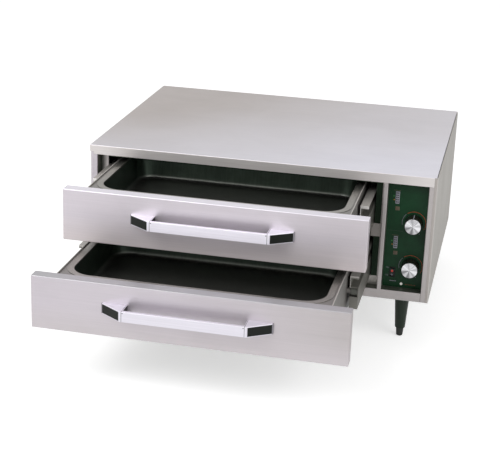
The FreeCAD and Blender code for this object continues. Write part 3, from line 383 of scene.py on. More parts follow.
def make_handling_marks():
    """Wiped patches and a few hair scratches, from zero to one."""
    tree, start, end = new_group(
        "Handling marks",
        [VECTOR_IN, ("Amount", "NodeSocketFloat", 0.5)],
        [("Mask", "NodeSocketFloat"), ("Scratch", "NodeSocketFloat")])
    patches = noise(tree, start.outputs["Vector"], 7.0, 5.0, 0.6, 0.6)
    patches = spread(tree, patches, 0.42, 0.68, 0.0, 1.0)
    tree.links.new(figure(tree, "MULTIPLY", patches, start.outputs["Amount"]),
                   end.inputs["Mask"])
    warp = add_node(tree, "ShaderNodeMapping", None, {
        "Vector": start.outputs["Vector"], "Rotation": (0.3, 0.5, 0.7),
        "Scale": (6.0, 160.0, 160.0)})
    lines = noise(tree, warp.outputs["Vector"], 1.0, 1.0, 0.4)
    lines = spread(tree, lines, 0.73, 0.78, 0.0, 1.0)
    tree.links.new(figure(tree, "MULTIPLY", lines, start.outputs["Amount"]),
                   end.inputs["Scratch"])


def make_heat_tint():
    """Straw to blue-grey staining of heated steel."""
    tree, start, end = new_group(
        "Heat tint",
        [VECTOR_IN, ("Clean", "NodeSocketColor", None),
         ("Stained", "NodeSocketColor", None), ("Amount", "NodeSocketFloat", 0.5)],
        [("Color", "NodeSocketColor"), ("Mask", "NodeSocketFloat")])
    cloud = noise(tree, start.outputs["Vector"], 9.0, 4.0, 0.6, 0.8)
    share = figure(tree, "MULTIPLY", spread(tree, cloud, 0.3, 0.7, 0.0, 1.0),
                   start.outputs["Amount"])
    colour = blended(tree, share, start.outputs["Clean"], start.outputs["Stained"])
    tree.links.new(colour, end.inputs["Color"])
    tree.links.new(share, end.inputs["Mask"])


def make_moulded_skin():
    """Spark-eroded skin of moulded plastic or enamel."""
    tree, start, end = new_group(
        "Moulded skin",
        [VECTOR_IN, ("Grain", "NodeSocketFloat", 900.0)],
        TONE_AND_HEIGHT)
    fine = noise(tree, start.outputs["Vector"], start.outputs["Grain"], 3.0, 0.6)
    broad = noise(tree, start.outputs["Vector"], 40.0, 3.0, 0.6)
    tree.links.new(fine, end.inputs["Height"])
    tree.links.new(spread(tree, broad, 0.3, 0.7, 0.85, 1.15), end.inputs["Tone"])


def make_turned_rings():
    """Concentric tool marks about the Y axis of a centred vector, and painted highlight fans by
    angle.
    """
    tree, start, end = new_group(
        "Turned rings",
        [VECTOR_IN, ("Pitch", "NodeSocketFloat", 0.0006)],
        [*TONE_AND_HEIGHT, ("Sweep", "NodeSocketFloat")])
    parts = add_node(tree, "ShaderNodeSeparateXYZ", None, {"Vector": start.outputs["Vector"]})
    square = figure(tree, "ADD",
                    figure(tree, "POWER", parts.outputs["X"], 2.0),
                    figure(tree, "POWER", parts.outputs["Z"], 2.0))
    reach = figure(tree, "SQRT", square)
    turns = figure(tree, "DIVIDE", reach, start.outputs["Pitch"])
    line = add_node(tree, "ShaderNodeCombineXYZ", None, {"X": turns})
    cut = noise(tree, line.outputs["Vector"], 1.0, 2.0, 0.6)
    flat = add_node(tree, "ShaderNodeCombineXYZ", None, {
        "X": figure(tree, "DIVIDE", parts.outputs["X"], reach),
        "Y": figure(tree, "DIVIDE", parts.outputs["Z"], reach)})
    # Painted highlight fans by angle round the axis.
    fans = noise(tree, flat.outputs["Vector"], 1.25, 1.0, 0.4)
    tree.links.new(spread(tree, fans, 0.36, 0.64, 0.0, 1.0), end.inputs["Sweep"])
    tree.links.new(cut, end.inputs["Height"])
    tree.links.new(spread(tree, cut, 0.3, 0.7, 0.88, 1.12), end.inputs["Tone"])


def make_zinc_spangle():
    """Crystal flowers of galvanised sheet."""
    tree, start, end = new_group(
        "Zinc spangle",
        [VECTOR_IN, ("Size", "NodeSocketFloat", 120.0)],
        TONE_AND_HEIGHT)
    cells = add_node(tree, "ShaderNodeTexVoronoi", {"feature": "F1"}, {
        "Vector": start.outputs["Vector"], "Scale": start.outputs["Size"]})
    shade = add_node(tree, "ShaderNodeSeparateColor", None, {"Color": cells.outputs["Color"]})
    tree.links.new(spread(tree, shade.outputs["Red"], 0.0, 1.0, 0.86, 1.12), end.inputs["Tone"])
    tree.links.new(cells.outputs["Distance"], end.inputs["Height"])


def make_seam_line():
    """Closed joint between two sheets: zero on a line across X, one away from it."""
    tree, start, end = new_group(
        "Seam line",
        [VECTOR_IN, ("Place", "NodeSocketFloat", 0.0),
         ("Half", "NodeSocketFloat", 0.0005)],
        [("Clear", "NodeSocketFloat")])
    parts = add_node(tree, "ShaderNodeSeparateXYZ", None, {"Vector": start.outputs["Vector"]})
    off = figure(tree, "ABSOLUTE",
                 figure(tree, "SUBTRACT", parts.outputs["X"], start.outputs["Place"]))
    tree.links.new(figure(tree, "GREATER_THAN", off, start.outputs["Half"]),
                   end.inputs["Clear"])


def make_print_grain():
    """Screen-printed ink: slightly uneven cover."""
    tree, start, end = new_group(
        "Print grain",
        [VECTOR_IN],
        TONE_AND_HEIGHT)
    cover = noise(tree, start.outputs["Vector"], 1400.0, 3.0, 0.6)
    tree.links.new(spread(tree, cover, 0.3, 0.7, 0.82, 1.1), end.inputs["Tone"])
    tree.links.new(cover, end.inputs["Height"])


def effect(tree, name, inputs):
    """One shared effect placed in a material."""
    node = tree.nodes.new("ShaderNodeGroup")
    node.node_tree = bpy.data.node_groups[name]
    for label, value in inputs.items():
        feed(tree, node.inputs[label], value)
    return node.outputs


# ---------------------------------------------------------------- materials


def new_material(name):
    """Material with an empty tree, its shader and its output."""
    material = bpy.data.materials.new(name)
    material.use_nodes = True
    tree = material.node_tree
    tree.nodes.clear()
    shader = tree.nodes.new("ShaderNodeBsdfPrincipled")
    output = tree.nodes.new("ShaderNodeOutputMaterial")
    tree.links.new(shader.outputs["BSDF"], output.inputs["Surface"])
    return material, tree, shader


def placed(tree, scale=(1, 1, 1), centre=(0, 0, 0)):
    """Object coordinates, centred on a point and stretched."""
    source = tree.nodes.new("ShaderNodeTexCoord")
    shift = add_node(tree, "ShaderNodeVectorMath", {"operation": "SUBTRACT"},
                     {0: source.outputs["Object"], 1: centre})
    node = add_node(tree, "ShaderNodeMapping", None, {
        "Vector": shift.outputs["Vector"], "Scale": scale})
    return node.outputs["Vector"]


def past(axis, place, fade):
    """Stretch of a piece past a place, fading in over a distance before it."""
    return axis, place - fade, place


def short_of(axis, place, fade):
    """Stretch of a piece short of a place, fading out over a distance past it."""
    return axis, place + fade, place


def band(tree, axis, start, end):
    """One past a stretch's end, zero before its start."""
    parts = add_node(tree, "ShaderNodeSeparateXYZ", None, {"Vector": placed(tree)})
    return spread(tree, parts.outputs[axis], start, end, 0.0, 1.0)


def overlap(tree, stretches):
    """One where every one of some stretches holds."""
    share = band(tree, *stretches[0])
    for stretch in stretches[1:]:
        share = figure(tree, "MULTIPLY", share, band(tree, *stretch))
    return share


def clear_of(tree, value, place, half, fade):
    """Zero within a half width of a place, one past its fade."""
    off = figure(tree, "ABSOLUTE", figure(tree, "SUBTRACT", value, place))
    return spread(tree, off, half, half + fade, 0.0, 1.0)


def shaded(tree, tone, clear, darkest):
    """Tone that falls to its darkest share where a mask is zero."""
    return figure(tree, "MULTIPLY", tone, spread(tree, clear, 0.0, 1.0, darkest, 1.0))


def drawn_out(axis, across, lengthwise):
    """Scale that draws a pattern out along one axis."""
    return tuple(lengthwise if letter == axis else across for letter in "XYZ")


def scaled(colour, factor):
    """Colour times a factor, held at one."""
    return tuple(min(1.0, factor * part) for part in colour)


def paint(tree, shader, colour, tone):
    """Base colour with a tone over it."""
    tree.links.new(tinted(tree, colour, tone), shader.inputs["Base Color"])


def roughen(tree, shader, roughness, *shares):
    """Roughness with the shares of some masks added."""
    for mask, share in shares:
        roughness = figure(tree, "ADD", figure(tree, "MULTIPLY", mask, share), roughness)
    tree.links.new(roughness, shader.inputs["Roughness"])


def raise_surface(tree, shader, height, strength, distance):
    """Bump on the shader's normal."""
    node = add_node(tree, "ShaderNodeBump", None, {
        "Strength": strength, "Distance": distance, "Height": height})
    tree.links.new(node.outputs["Normal"], shader.inputs["Normal"])


def painted_shading(colour, level, along_x=0.0, along_y=0.0):
    """The painted shading's inputs: shaded colour, brightness and its change per metre."""
    return {"Shadowed": colour, "Level": level, "Along X": along_x, "Along Y": along_y}


def brushed_steel(name, colour, roughness, depth, along, marks=0.5, painted_gradient=None, faces=(),
                  metal=0.72, seam=None, haze=None):
    """Brushed sheet with its grain along an axis.

    Each of the faces is a tint and the stretches that it fills. A seam is its place across,
    its half width and the height that it ends at. Haze is a stretch and its metal share.
    """
    grain_share, wiped_share, scratch_share = 0.12, 0.08, -0.12
    wiped_tone, seam_tone = 0.05, 0.35
    material, tree, shader = new_material(name)
    shader.inputs["Metallic"].default_value = metal
    if haze:
        stretch, hazy_metal = haze
        hazy = spread(tree, band(tree, *stretch), 0.0, 1.0, metal, hazy_metal)
        tree.links.new(hazy, shader.inputs["Metallic"])
    grain = effect(tree, "Sheet grain", {
        "Vector": placed(tree, drawn_out(along, 420.0, 7.0)), "Depth": depth})
    wiped = effect(tree, "Handling marks", {"Vector": placed(tree), "Amount": marks})
    tone = figure(tree, "SUBTRACT", grain["Tone"],
                  figure(tree, "MULTIPLY", wiped["Mask"], wiped_tone))
    # Painted shading from the lit to the shaded colour across the sheet.
    if painted_gradient:
        inputs = {"Vector": placed(tree), "Bright": colour, **painted_gradient}
        colour = effect(tree, "Sheet painted shading", inputs)["Color"]
    # The faces' tints paint light and shade on their stretches.
    for tint, *stretches in faces:
        colour = blended(tree, overlap(tree, stretches), colour, tint)
    if seam:
        place, half, top = seam
        line = effect(tree, "Seam line", {"Vector": placed(tree), "Place": place, "Half": half})
        clear = figure(tree, "MAXIMUM", line["Clear"], band(tree, *past("Z", top, 1.0 * MM)))
        tone = shaded(tree, tone, clear, seam_tone)
    paint(tree, shader, colour, tone)
    roughen(tree, shader, roughness - grain_share / 2, (grain["Height"], grain_share),
            (wiped["Mask"], wiped_share), (wiped["Scratch"], scratch_share))
    height = figure(tree, "SUBTRACT", grain["Height"], wiped["Scratch"])
    raise_surface(tree, shader, height, 0.25, 0.06 * MM)
    return material


def heat_stained_and_shaded_steel(name, clean, stained, amount, roughness, along):
    """Steel with clouds of heat stain between a clean and a stained colour; on the cavity these
    colours are painted shade.
    """
    material, tree, shader = new_material(name)
    shader.inputs["Metallic"].default_value = 0.85
    tint = effect(tree, "Heat tint", {
        "Vector": placed(tree), "Clean": clean, "Stained": stained, "Amount": amount})
    grain = effect(tree, "Sheet grain", {
        "Vector": placed(tree, drawn_out(along, 300.0, 10.0)), "Depth": 0.22})
    paint(tree, shader, tint["Color"], grain["Tone"])
    roughen(tree, shader, roughness, (tint["Mask"], 0.18))
    raise_surface(tree, shader, grain["Height"], 0.3, 0.08 * MM)
    return material


def pan_steel(name, well, rim, low, high):
    """Deep-drawn pan: bright worn flange over a streaked, heat-stained well painted near-black
    with shade, lighter at its floor.
    """
    lighter_floor = (0.24, 0.24, 0.225)
    cleaner = 1.6
    material, tree, shader = new_material(name)
    shader.inputs["Metallic"].default_value = 0.9
    tint = effect(tree, "Heat tint", {
        "Vector": placed(tree), "Clean": scaled(well, cleaner), "Stained": well,
        "Amount": 1.0})
    drawn = effect(tree, "Sheet grain", {
        "Vector": placed(tree, drawn_out("Z", 260.0, 12.0)), "Depth": 0.3})
    # The well's walls keep their painted shade; its floor is lighter.
    floor = band(tree, *short_of("Z", low + 2.0 * MM, 10.0 * MM))
    flange = band(tree, *past("Z", high - 0.5 * MM, 3.5 * MM))
    colour = blended(tree, floor, tint["Color"], lighter_floor)
    paint(tree, shader, blended(tree, flange, colour, rim), drawn["Tone"])
    roughen(tree, shader, 0.26, (drawn["Height"], 0.16))
    raise_surface(tree, shader, drawn["Height"], 0.3, 0.08 * MM)
    return material


def galvanised(name, colour, roughness, size):
    """Zinc-plated sheet with spangle."""
    material, tree, shader = new_material(name)
    shader.inputs["Metallic"].default_value = 1.0
    spangle = effect(tree, "Zinc spangle", {"Vector": placed(tree), "Size": size})
    wiped = effect(tree, "Handling marks", {"Vector": placed(tree), "Amount": 0.8})
    paint(tree, shader, colour, spangle["Tone"])
    roughen(tree, shader, roughness, (wiped["Mask"], 0.15))
    raise_surface(tree, shader, spangle["Height"], 0.15, 0.1 * MM)
    return material


def cast_metal(name, colour, roughness, handle, seam_reach, pin_reach):
    """Satin handle casting: seams, pins, foot lines of joint and painted shadow, painted shade on
    the grip walls, painted recesses.
    """
    low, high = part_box(handle)
    pin_height = high.z - 3.0 * MM
    pin_radius = 0.9 * MM
    foot_reach = high.x - handle_middle - 2.0 * MM
    bar_back = low.y + 7.0 * MM
    grip_reach = 116.0 * MM
    recess_start, recess_end = 124.0 * MM, 164.5 * MM
    recess_half = (high.z - low.z) / 2 - 1.6 * MM
    recess_paint = (0.010, 0.012, 0.010)
    seam_tone, foot_tone, wall_tone = 0.12, 0.30, 0.05
    material, tree, shader = new_material(name)
    shader.inputs["Metallic"].default_value = 0.8
    grain = effect(tree, "Sheet grain", {
        "Vector": placed(tree, drawn_out("X", 500.0, 9.0)), "Depth": 0.10})
    wiped = effect(tree, "Handling marks", {"Vector": placed(tree), "Amount": 0.7})
    parts = add_node(tree, "ShaderNodeSeparateXYZ", None, {
        "Vector": placed(tree, centre=(handle_middle, 0, pin_height))})
    away = figure(tree, "ABSOLUTE", parts.outputs["X"])
    sideways = figure(tree, "POWER", figure(tree, "SUBTRACT", away, pin_reach), 2.0)
    upwards = figure(tree, "POWER", parts.outputs["Z"], 2.0)
    off_pin = figure(tree, "SQRT", figure(tree, "ADD", sideways, upwards))
    pin = spread(tree, off_pin, pin_radius, pin_radius + 0.3 * MM, 0.0, 1.0)
    seam = figure(tree, "MULTIPLY", pin,
                  clear_of(tree, away, seam_reach, 0.2 * MM, 0.4 * MM))
    # Dark line where the foot meets the front: a joint with painted shadow.
    foot = spread(tree, away, foot_reach, foot_reach + 0.6 * MM, 1.0, 0.0)
    # Painted shade on the grip walls inside the handle's ends.
    wall = figure(tree, "MAXIMUM", clear_of(tree, away, grip_reach, 0.4 * MM, 0.2 * MM),
                  band(tree, *short_of("Y", bar_back + 0.2 * MM, 0.4 * MM)))
    tone = grain["Tone"]
    for clear, darkest in ((seam, seam_tone), (foot, foot_tone), (wall, wall_tone)):
        tone = shaded(tree, tone, clear, darkest)
    middle = (low.z + high.z) / 2 - pin_height
    bare = figure(tree, "MAXIMUM",
                  clear_of(tree, parts.outputs["Z"], middle, recess_half, 0.3 * MM),
                  clear_of(tree, away, (recess_start + recess_end) / 2,
                           (recess_end - recess_start) / 2, 0.4 * MM))
    paint(tree, shader, blended(tree, bare, recess_paint, colour), tone)
    roughen(tree, shader, roughness, (wiped["Mask"], 0.12))
    height = figure(tree, "ADD", figure(tree, "MULTIPLY", grain["Height"], 0.2),
                    figure(tree, "MULTIPLY", seam, 2.0))
    raise_surface(tree, shader, height, 0.4, 0.2 * MM)
    return material


def moulded(name, colour, roughness, grain=900.0, coat=0.0, shine=0.5):
    """Moulded plastic, rubber or enamel with a fine skin."""
    material, tree, shader = new_material(name)
    skin = effect(tree, "Moulded skin", {"Vector": placed(tree), "Grain": grain})
    wiped = effect(tree, "Handling marks", {"Vector": placed(tree), "Amount": 0.6})
    paint(tree, shader, colour, skin["Tone"])
    roughen(tree, shader, roughness, (wiped["Mask"], 0.12))
    shader.inputs["Specular IOR Level"].default_value = shine
    shader.inputs["Coat Weight"].default_value = coat
    shader.inputs["Coat Roughness"].default_value = 0.12
    raise_surface(tree, shader, skin["Height"], 0.2, 0.05 * MM)
    return material


def turned_metal(name, colour, roughness, centre, pitch, twist=0.0):
    """Spun or turned disc about Y, with rings and, where it has twist, painted fans of highlight.
    """
    fan_dark, fan_bright = 0.42, 1.5
    material, tree, shader = new_material(name)
    shader.inputs["Metallic"].default_value = 1.0
    shader.inputs["Roughness"].default_value = roughness
    shader.inputs["Anisotropic"].default_value = twist
    rings = effect(tree, "Turned rings", {
        "Vector": placed(tree, centre=centre), "Pitch": pitch})
    tone = rings["Tone"]
    # Painted highlight: fans of light and shade by angle over the spun face.
    if twist:
        fans = spread(tree, rings["Sweep"], 0.0, 1.0, fan_dark, fan_bright)
        tone = figure(tree, "MULTIPLY", tone, fans)
        turn = add_node(tree, "ShaderNodeTangent", {"direction_type": "RADIAL", "axis": "Y"})
        tree.links.new(turn.outputs["Tangent"], shader.inputs["Tangent"])
    paint(tree, shader, colour, tone)
    raise_surface(tree, shader, rings["Height"], 0.12, 0.03 * MM)
    return material


def lens_plastic(name, colour, glow):
    """Ribbed translucent lens."""
    material, tree, shader = new_material(name)
    ribs = noise(tree, placed(tree, (1.0, 1.0, 2600.0)), 1.0, 0.0)
    skin = effect(tree, "Moulded skin", {"Vector": placed(tree), "Grain": 1200.0})
    tone = figure(tree, "MULTIPLY", spread(tree, ribs, 0.35, 0.65, 0.75, 1.15), skin["Tone"])
    mixed = tinted(tree, colour, tone)
    tree.links.new(mixed, shader.inputs["Base Color"])
    tree.links.new(mixed, shader.inputs["Emission Color"])
    shader.inputs["Emission Strength"].default_value = glow
    shader.inputs["Roughness"].default_value = 0.18
    raise_surface(tree, shader, ribs, 0.3, 0.2 * MM)
    return material


def wool(name, colour):
    """Mineral wool with matted fibres."""
    material, tree, shader = new_material(name)
    fibres = noise(tree, placed(tree, (90.0, 260.0, 260.0)), 1.0, 6.0, 0.75, 1.5)
    clumps = noise(tree, placed(tree), 28.0, 3.0, 0.6)
    tone = figure(tree, "ADD", spread(tree, fibres, 0.3, 0.7, 0.45, 0.75),
                  spread(tree, clumps, 0.3, 0.7, 0.2, 0.5))
    paint(tree, shader, colour, tone)
    shader.inputs["Roughness"].default_value = 0.95
    raise_surface(tree, shader, fibres, 0.9, 2.0 * MM)
    return material


def ink(name, colour):
    """Screen-printed ink."""
    material, tree, shader = new_material(name)
    cover = effect(tree, "Print grain", {"Vector": placed(tree)})
    paint(tree, shader, colour, cover["Tone"])
    tree.links.new(spread(tree, cover["Height"], 0.3, 0.7, 0.35, 0.55),
                   shader.inputs["Roughness"])
    raise_surface(tree, shader, cover["Height"], 0.15, 0.03 * MM)
    return material


def finish_nodes(material, *names):
    """Gives CAD nodes their material."""
    for name in names:
        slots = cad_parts[name].data.materials
        slots.clear()
        slots.append(material)


# ---------------------------------------------------------------- modelling helpers


MERGE_DISTANCE = 0.002 * MM
SMOOTH_ANGLE = math.radians(35)
ARC_STEP = math.radians(4)
FACING = 0.9  # least part of a face's normal along the way that it looks


def deselect_everything():
    """Clears the selection and leaves edit mode."""
    if bpy.context.mode != "OBJECT":
        bpy.ops.object.mode_set(mode="OBJECT")
    bpy.ops.object.select_all(action="DESELECT")


def named_piece(name):
    """Names the primitive just added and puts its place into its mesh."""
    piece = bpy.context.active_object
    piece.name = name
    piece.data.name = name
    bpy.ops.object.transform_apply(location=True, rotation=True, scale=True)
    return piece


def open_piece(name):
    """Names the primitive just added and opens it in edit mode."""
    piece = named_piece(name)
    bpy.ops.object.mode_set(mode="EDIT")
    return piece


def select_parts(piece, kind, wanted):
    """Selects the edit-mode points, edges or faces that pass a test."""
    bpy.ops.mesh.select_mode(type=kind)
    bpy.ops.mesh.select_all(action="DESELECT")
    mesh = bmesh.from_edit_mesh(piece.data)
    mesh.normal_update()
    for part in {"VERT": mesh.verts, "EDGE": mesh.edges, "FACE": mesh.faces}[kind]:
        part.select = wanted(part)
    mesh.select_flush_mode()
    bmesh.update_edit_mesh(piece.data)


def faces_front(face):
    """Whether a face looks out of the panel."""
    return face.normal.y < -FACING


def close_piece(piece, material, body):
    """Merges doubles, turns faces outwards, smooths, and gives the piece finish and body."""
    bpy.ops.mesh.select_mode(type="VERT")
    bpy.ops.mesh.select_all(action="SELECT")
    bpy.ops.mesh.remove_doubles(threshold=MERGE_DISTANCE)
    bpy.ops.mesh.normals_make_consistent(inside=False)
    bpy.ops.object.mode_set(mode="OBJECT")
    bpy.ops.object.shade_smooth_by_angle(angle=SMOOTH_ANGLE)
    piece.data.materials.clear()
    piece.data.materials.append(material)
    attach(piece, body)


def print_on_panel(piece, material):
    """Finishes a mark that lies on the control panel."""
    close_piece(piece, material, "cabinet")


def printed_arc(name, centre, radius, width, start, sweep, thickness):
    """Arc in the panel's plane: a radial edge spun round the dial, then thickened."""
    outward = Vector((math.cos(start), 0, math.sin(start)))
    onward = Vector((-math.sin(start), 0, math.cos(start)))
    middle = centre + outward * radius
    deselect_everything()
    bpy.ops.mesh.primitive_plane_add(
        size=width, location=middle, rotation=(math.pi / 2, -start, 0))
    piece = open_piece(name)
    select_parts(piece, "VERT", lambda point: (point.co - middle).dot(onward) > 0)
    bpy.ops.mesh.delete(type="VERT")
    bpy.ops.mesh.select_all(action="SELECT")
    steps = max(3, round(abs(sweep) / ARC_STEP))
    bpy.ops.mesh.spin(steps=steps, angle=-sweep, center=centre, axis=(0, -1, 0))
    bpy.ops.mesh.select_all(action="SELECT")
    bpy.ops.mesh.extrude_region_move(TRANSFORM_OT_translate={"value": (0, -thickness, 0)})
    return piece


def printed_plate(name, left, right, bottom, top, behind, thickness, corner):
    """Flat plate on the panel with rounded corners and a softened face."""
    deselect_everything()
    bpy.ops.mesh.primitive_cube_add(
        size=1, location=((left + right) / 2, behind - thickness / 2, (bottom + top) / 2))
    bpy.context.active_object.scale = (right - left, thickness, top - bottom)
    piece = open_piece(name)
    select_parts(piece, "EDGE", lambda edge: abs(
        edge.verts[0].co.y - edge.verts[1].co.y) > thickness / 2)
    bpy.ops.mesh.bevel(offset=corner, segments=3, affect="EDGES")
    select_parts(piece, "FACE", faces_front)
    bpy.ops.mesh.inset(thickness=thickness * 0.5, depth=thickness * 0.2)
    return piece


def printed_dot(name, x, z, radius, behind, thickness):
    """Small round dot with a domed face."""
    deselect_everything()
    bpy.ops.mesh.primitive_cylinder_add(
        vertices=24, radius=radius, depth=thickness,
        location=(x, behind - thickness / 2, z), rotation=(math.pi / 2, 0, 0))
    piece = open_piece(name)
    select_parts(piece, "FACE", faces_front)
    bpy.ops.mesh.inset(thickness=radius * 0.35, depth=thickness * 0.4)
    return piece


def printed_word(name, words, x, z, height, behind, thickness):
    """Raised lettering of generic words or numbers."""
    deselect_everything()
    bpy.ops.object.text_add(location=(x, behind - thickness / 2, z),
                            rotation=(math.pi / 2, 0, 0))
    text = bpy.context.active_object
    text.data.body = words
    text.data.size = height
    text.data.align_x = "CENTER"
    text.data.align_y = "CENTER"
    text.data.extrude = thickness / 2
    text.data.resolution_u = 3
    bpy.ops.object.convert(target="MESH")
    return open_piece(name)


def repeat_piece(step, copies):
    """Copies all that the piece in edit mode holds, each copy a step past the last."""
    bpy.ops.mesh.select_all(action="SELECT")
    for _ in range(copies):
        bpy.ops.mesh.duplicate_move(TRANSFORM_OT_translate={"value": step})


def knob_reach(node, middle, turn, depth):
    """Distance from a knob's axis to its surface at an angle and a depth."""
    slice_half, sector_half = 4.0 * MM, math.radians(6)
    reach = 0.0
    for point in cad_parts[node].data.vertices:
        away = Vector((point.co.x - middle.x, point.co.z - middle.z))
        angle = math.atan2(away.y, away.x) % (2 * math.pi)
        if abs(point.co.y - depth) < slice_half and abs(angle - turn) < sector_half:
            reach = max(reach, away.length)
    return reach


# ---------------------------------------------------------------- finishes


class WARMER_OT_cabinet_finish(bpy.types.Operator):
    """Brushed and plated sheet of the cabinet, its legs and its screws"""

    bl_idname = "warmer.cabinet_finish"
    bl_label = "Cabinet finish"

    def execute(self, context):
        look = context.scene.warmer_finishes
        rough, depth = look.steel_roughness, look.grain_depth
        # The side skins and back cover take the side colour: their steel painted darker as shade.
        side = tuple(look.shaded_side_colour)
        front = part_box("top_cover")[0].y
        # Painted light on the front faces of the top's rail and of the side skins' wraps.
        edge = short_of("Y", front + 0.2 * MM, 0.3 * MM)
        self.finish_top(look, short_of("Y", front + 1.2 * MM, 1.2 * MM), edge)
        self.finish_frame(look, past("Y", front + 2.6 * MM, 1.1 * MM))
        # Side skins: painted highlight along the rounded front corner and painted light on the
        # front wrap, lighter on the left.
        fold = short_of("Y", front + 5.0 * MM, 2.0 * MM)
        for hand, wrap in (("left", tuple(look.steel_colour)), ("right", (0.42, 0.39, 0.37))):
            skin = brushed_steel("Side skin steel " + hand, side, rough, depth, "Y", 0.8,
                                 faces=(((0.54, 0.52, 0.50), fold), (wrap, edge)))
            finish_nodes(skin, "side_panel_" + hand)
        finish_nodes(brushed_steel("Back cover steel", side, rough + 0.04, depth, "X", 0.9),
                     "back_panel")
        finish_nodes(galvanised("Base pan zinc", (0.42, 0.42, 0.41), 0.42, 90.0), "base_pan")
        finish_nodes(galvanised("Plated screws", (0.50, 0.48, 0.42), 0.3, 900.0),
                     "cabinet_fasteners")
        finish_nodes(moulded("Leg enamel", tuple(look.leg_colour), 0.3, 500.0, 0.15, 0.35),
                     "leg_front_left", "leg_front_right", "leg_rear_left", "leg_rear_right")
        finish_nodes(moulded("Foot rubber", (0.020, 0.022, 0.019), 0.55, 700.0), "leg_feet")
        return {"FINISHED"}

    def finish_top(self, look, fold, edge):
        """Top with painted shading across it, a painted highlight along its front fold and painted
        light on its front rail's face
        """
        steel = brushed_steel(
            "Top cover steel", tuple(look.top_colour), look.steel_roughness, look.grain_depth,
            "X", 0.5, painted_shading(tuple(look.top_painted_shade_colour), 0.72, 0.95, -1.2),
            (((0.72, 0.70, 0.77), fold), ((0.69, 0.655, 0.645), edge)))
        finish_nodes(steel, "top_cover")

    def finish_frame(self, look, returns):
        """Front frame with painted shading across it, painted shade on its returns and a closed
        joint through its bottom rail
        """
        joint = panel_left + 84.5 * MM
        joint_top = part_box("front_frame")[0].z + 22.0 * MM
        steel = brushed_steel(
            "Front frame steel", tuple(look.steel_colour), look.steel_roughness,
            look.grain_depth, "X", 0.6, painted_shading(tuple(look.painted_shade_colour), 0.35, -1.6),
            (((0.17, 0.18, 0.15), returns),), seam=(joint, 0.5 * MM, joint_top))
        finish_nodes(steel, "front_frame")


class WARMER_OT_cavity_finish(bpy.types.Operator):
    """Cavity and divider darkened with painted shade under heat stains, its heaters and insulation
    """

    bl_idname = "warmer.cavity_finish"
    bl_label = "Cavity finish"

    def execute(self, context):
        # The liner's near-black colours are painted shade, with heat-stain clouds over them.
        liner = tuple(context.scene.warmer_finishes.liner_colour)
        dark = scaled(liner, 0.4)
        finish_nodes(heat_stained_and_shaded_steel("Cavity liner steel", liner, dark, 0.9, 0.4, "Y"),
                     "cavity_liner", "drawer_divider")
        finish_nodes(heat_stained_and_shaded_steel("Cavity back steel", liner, dark, 1.0, 0.45, "X"),
                     "cavity_back")
        self.finish_flange()
        finish_nodes(heat_stained_and_shaded_steel("Heater sheath", (0.16, 0.14, 0.12), (0.05, 0.045, 0.05),
                                  1.0, 0.5, "X"),
                     "heating_element_upper", "heating_element_lower")
        finish_nodes(wool("Mineral wool", (0.66, 0.61, 0.46)), "insulation")
        return {"FINISHED"}

    def finish_flange(self):
        """Flange painted lit at both ends and painted with shade between the drawers' sides"""
        # Painted light over the flange's dark base: lit ends and painted shade between.
        bright, dark = (0.62, 0.58, 0.57), (0.011, 0.026, 0.013)
        low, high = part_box("cavity_front_flange")
        left_end = past("X", low.x + 18.0 * MM, 13.0 * MM)
        between = past("X", low.x + 22.0 * MM, 1.5 * MM)
        right_end = past("X", high.x - 7.5 * MM, 1.5 * MM)
        steel = brushed_steel(
            "Cavity flange steel", (0.05, 0.058, 0.045), 0.45, 0.1, "Z", 0.8,
            faces=((bright, left_end), (dark, between), (bright, right_end)))
        finish_nodes(steel, "cavity_front_flange")


class WARMER_OT_drawer_finish(bpy.types.Operator):
    """Drawer fronts, frames, pans and handles"""

    bl_idname = "warmer.drawer_finish"
    bl_label = "Drawer finish"

    def execute(self, context):
        look = context.scene.warmer_finishes
        tray = brushed_steel("Front liner steel", scaled(look.steel_colour, 0.7),
                             look.steel_roughness, look.grain_depth, "X", 0.8)
        caps = moulded("Handle cap plastic", tuple(look.plastic_colour), 0.4, 900.0, 0.0, 0.2)
        for level in LEVELS:
            finish_nodes(self.front_steel(look, level), "drawer_front_" + level)
            finish_nodes(tray, "drawer_front_liner_" + level)
            finish_nodes(self.frame_steel(look, level), "drawer_frame_" + level)
            # Painted light: each drawer's casting is scaled in brightness.
            tone = scaled(look.handle_colour, DRAWER_LOOKS[level]["cast_lift"])
            casting = cast_metal("Handle casting " + level, tone, 0.36, "handle_" + level,
                                 look.handle_seam, look.handle_pin)
            finish_nodes(casting, "handle_" + level)
            finish_nodes(caps, "handle_caps_" + level)
            low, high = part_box("pan_" + level)
            finish_nodes(pan_steel("Pan steel " + level, tuple(look.pan_colour),
                                   tuple(look.pan_rim_colour), low.z, high.z), "pan_" + level)
        return {"FINISHED"}

    def front_steel(self, look, level):
        """Front's steel scaled per drawer as painted light, with painted shading across it, darker
        with painted shade and reflection and hazier towards its foot, and painted light on its
        upper lip
        """
        light = DRAWER_LOOKS[level]
        low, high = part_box("drawer_front_" + level)
        foot = short_of("Z", low.z + 5.0 * MM, 50.0 * MM)
        lip = past("Z", high.z - 1.2 * MM, 0.6 * MM)
        hazy = short_of("Z", low.z + 5.0 * MM, 65.0 * MM)
        return brushed_steel(
            "Drawer front steel " + level, scaled(look.steel_colour, light["lift"]),
            look.steel_roughness, look.grain_depth, "X", 0.6,
            painted_shading(tuple(look.painted_shade_colour), light["evenness"], -2.6),
            ((light["foot_painted_shade"], foot), (light["lip_painted_light"], lip)),
            haze=(hazy, light["foot_metal"]))

    def frame_steel(self, look, level):
        """Frame's dark steel with painted light on its upper ledge"""
        ledge = past("Z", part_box("drawer_frame_" + level)[1].z - 1.0 * MM, 2.0 * MM)
        return brushed_steel(
            "Drawer frame steel " + level, (0.22, 0.21, 0.20), look.steel_roughness + 0.02,
            look.grain_depth, "Y", 1.0, faces=(((0.50, 0.48, 0.45), ledge),))


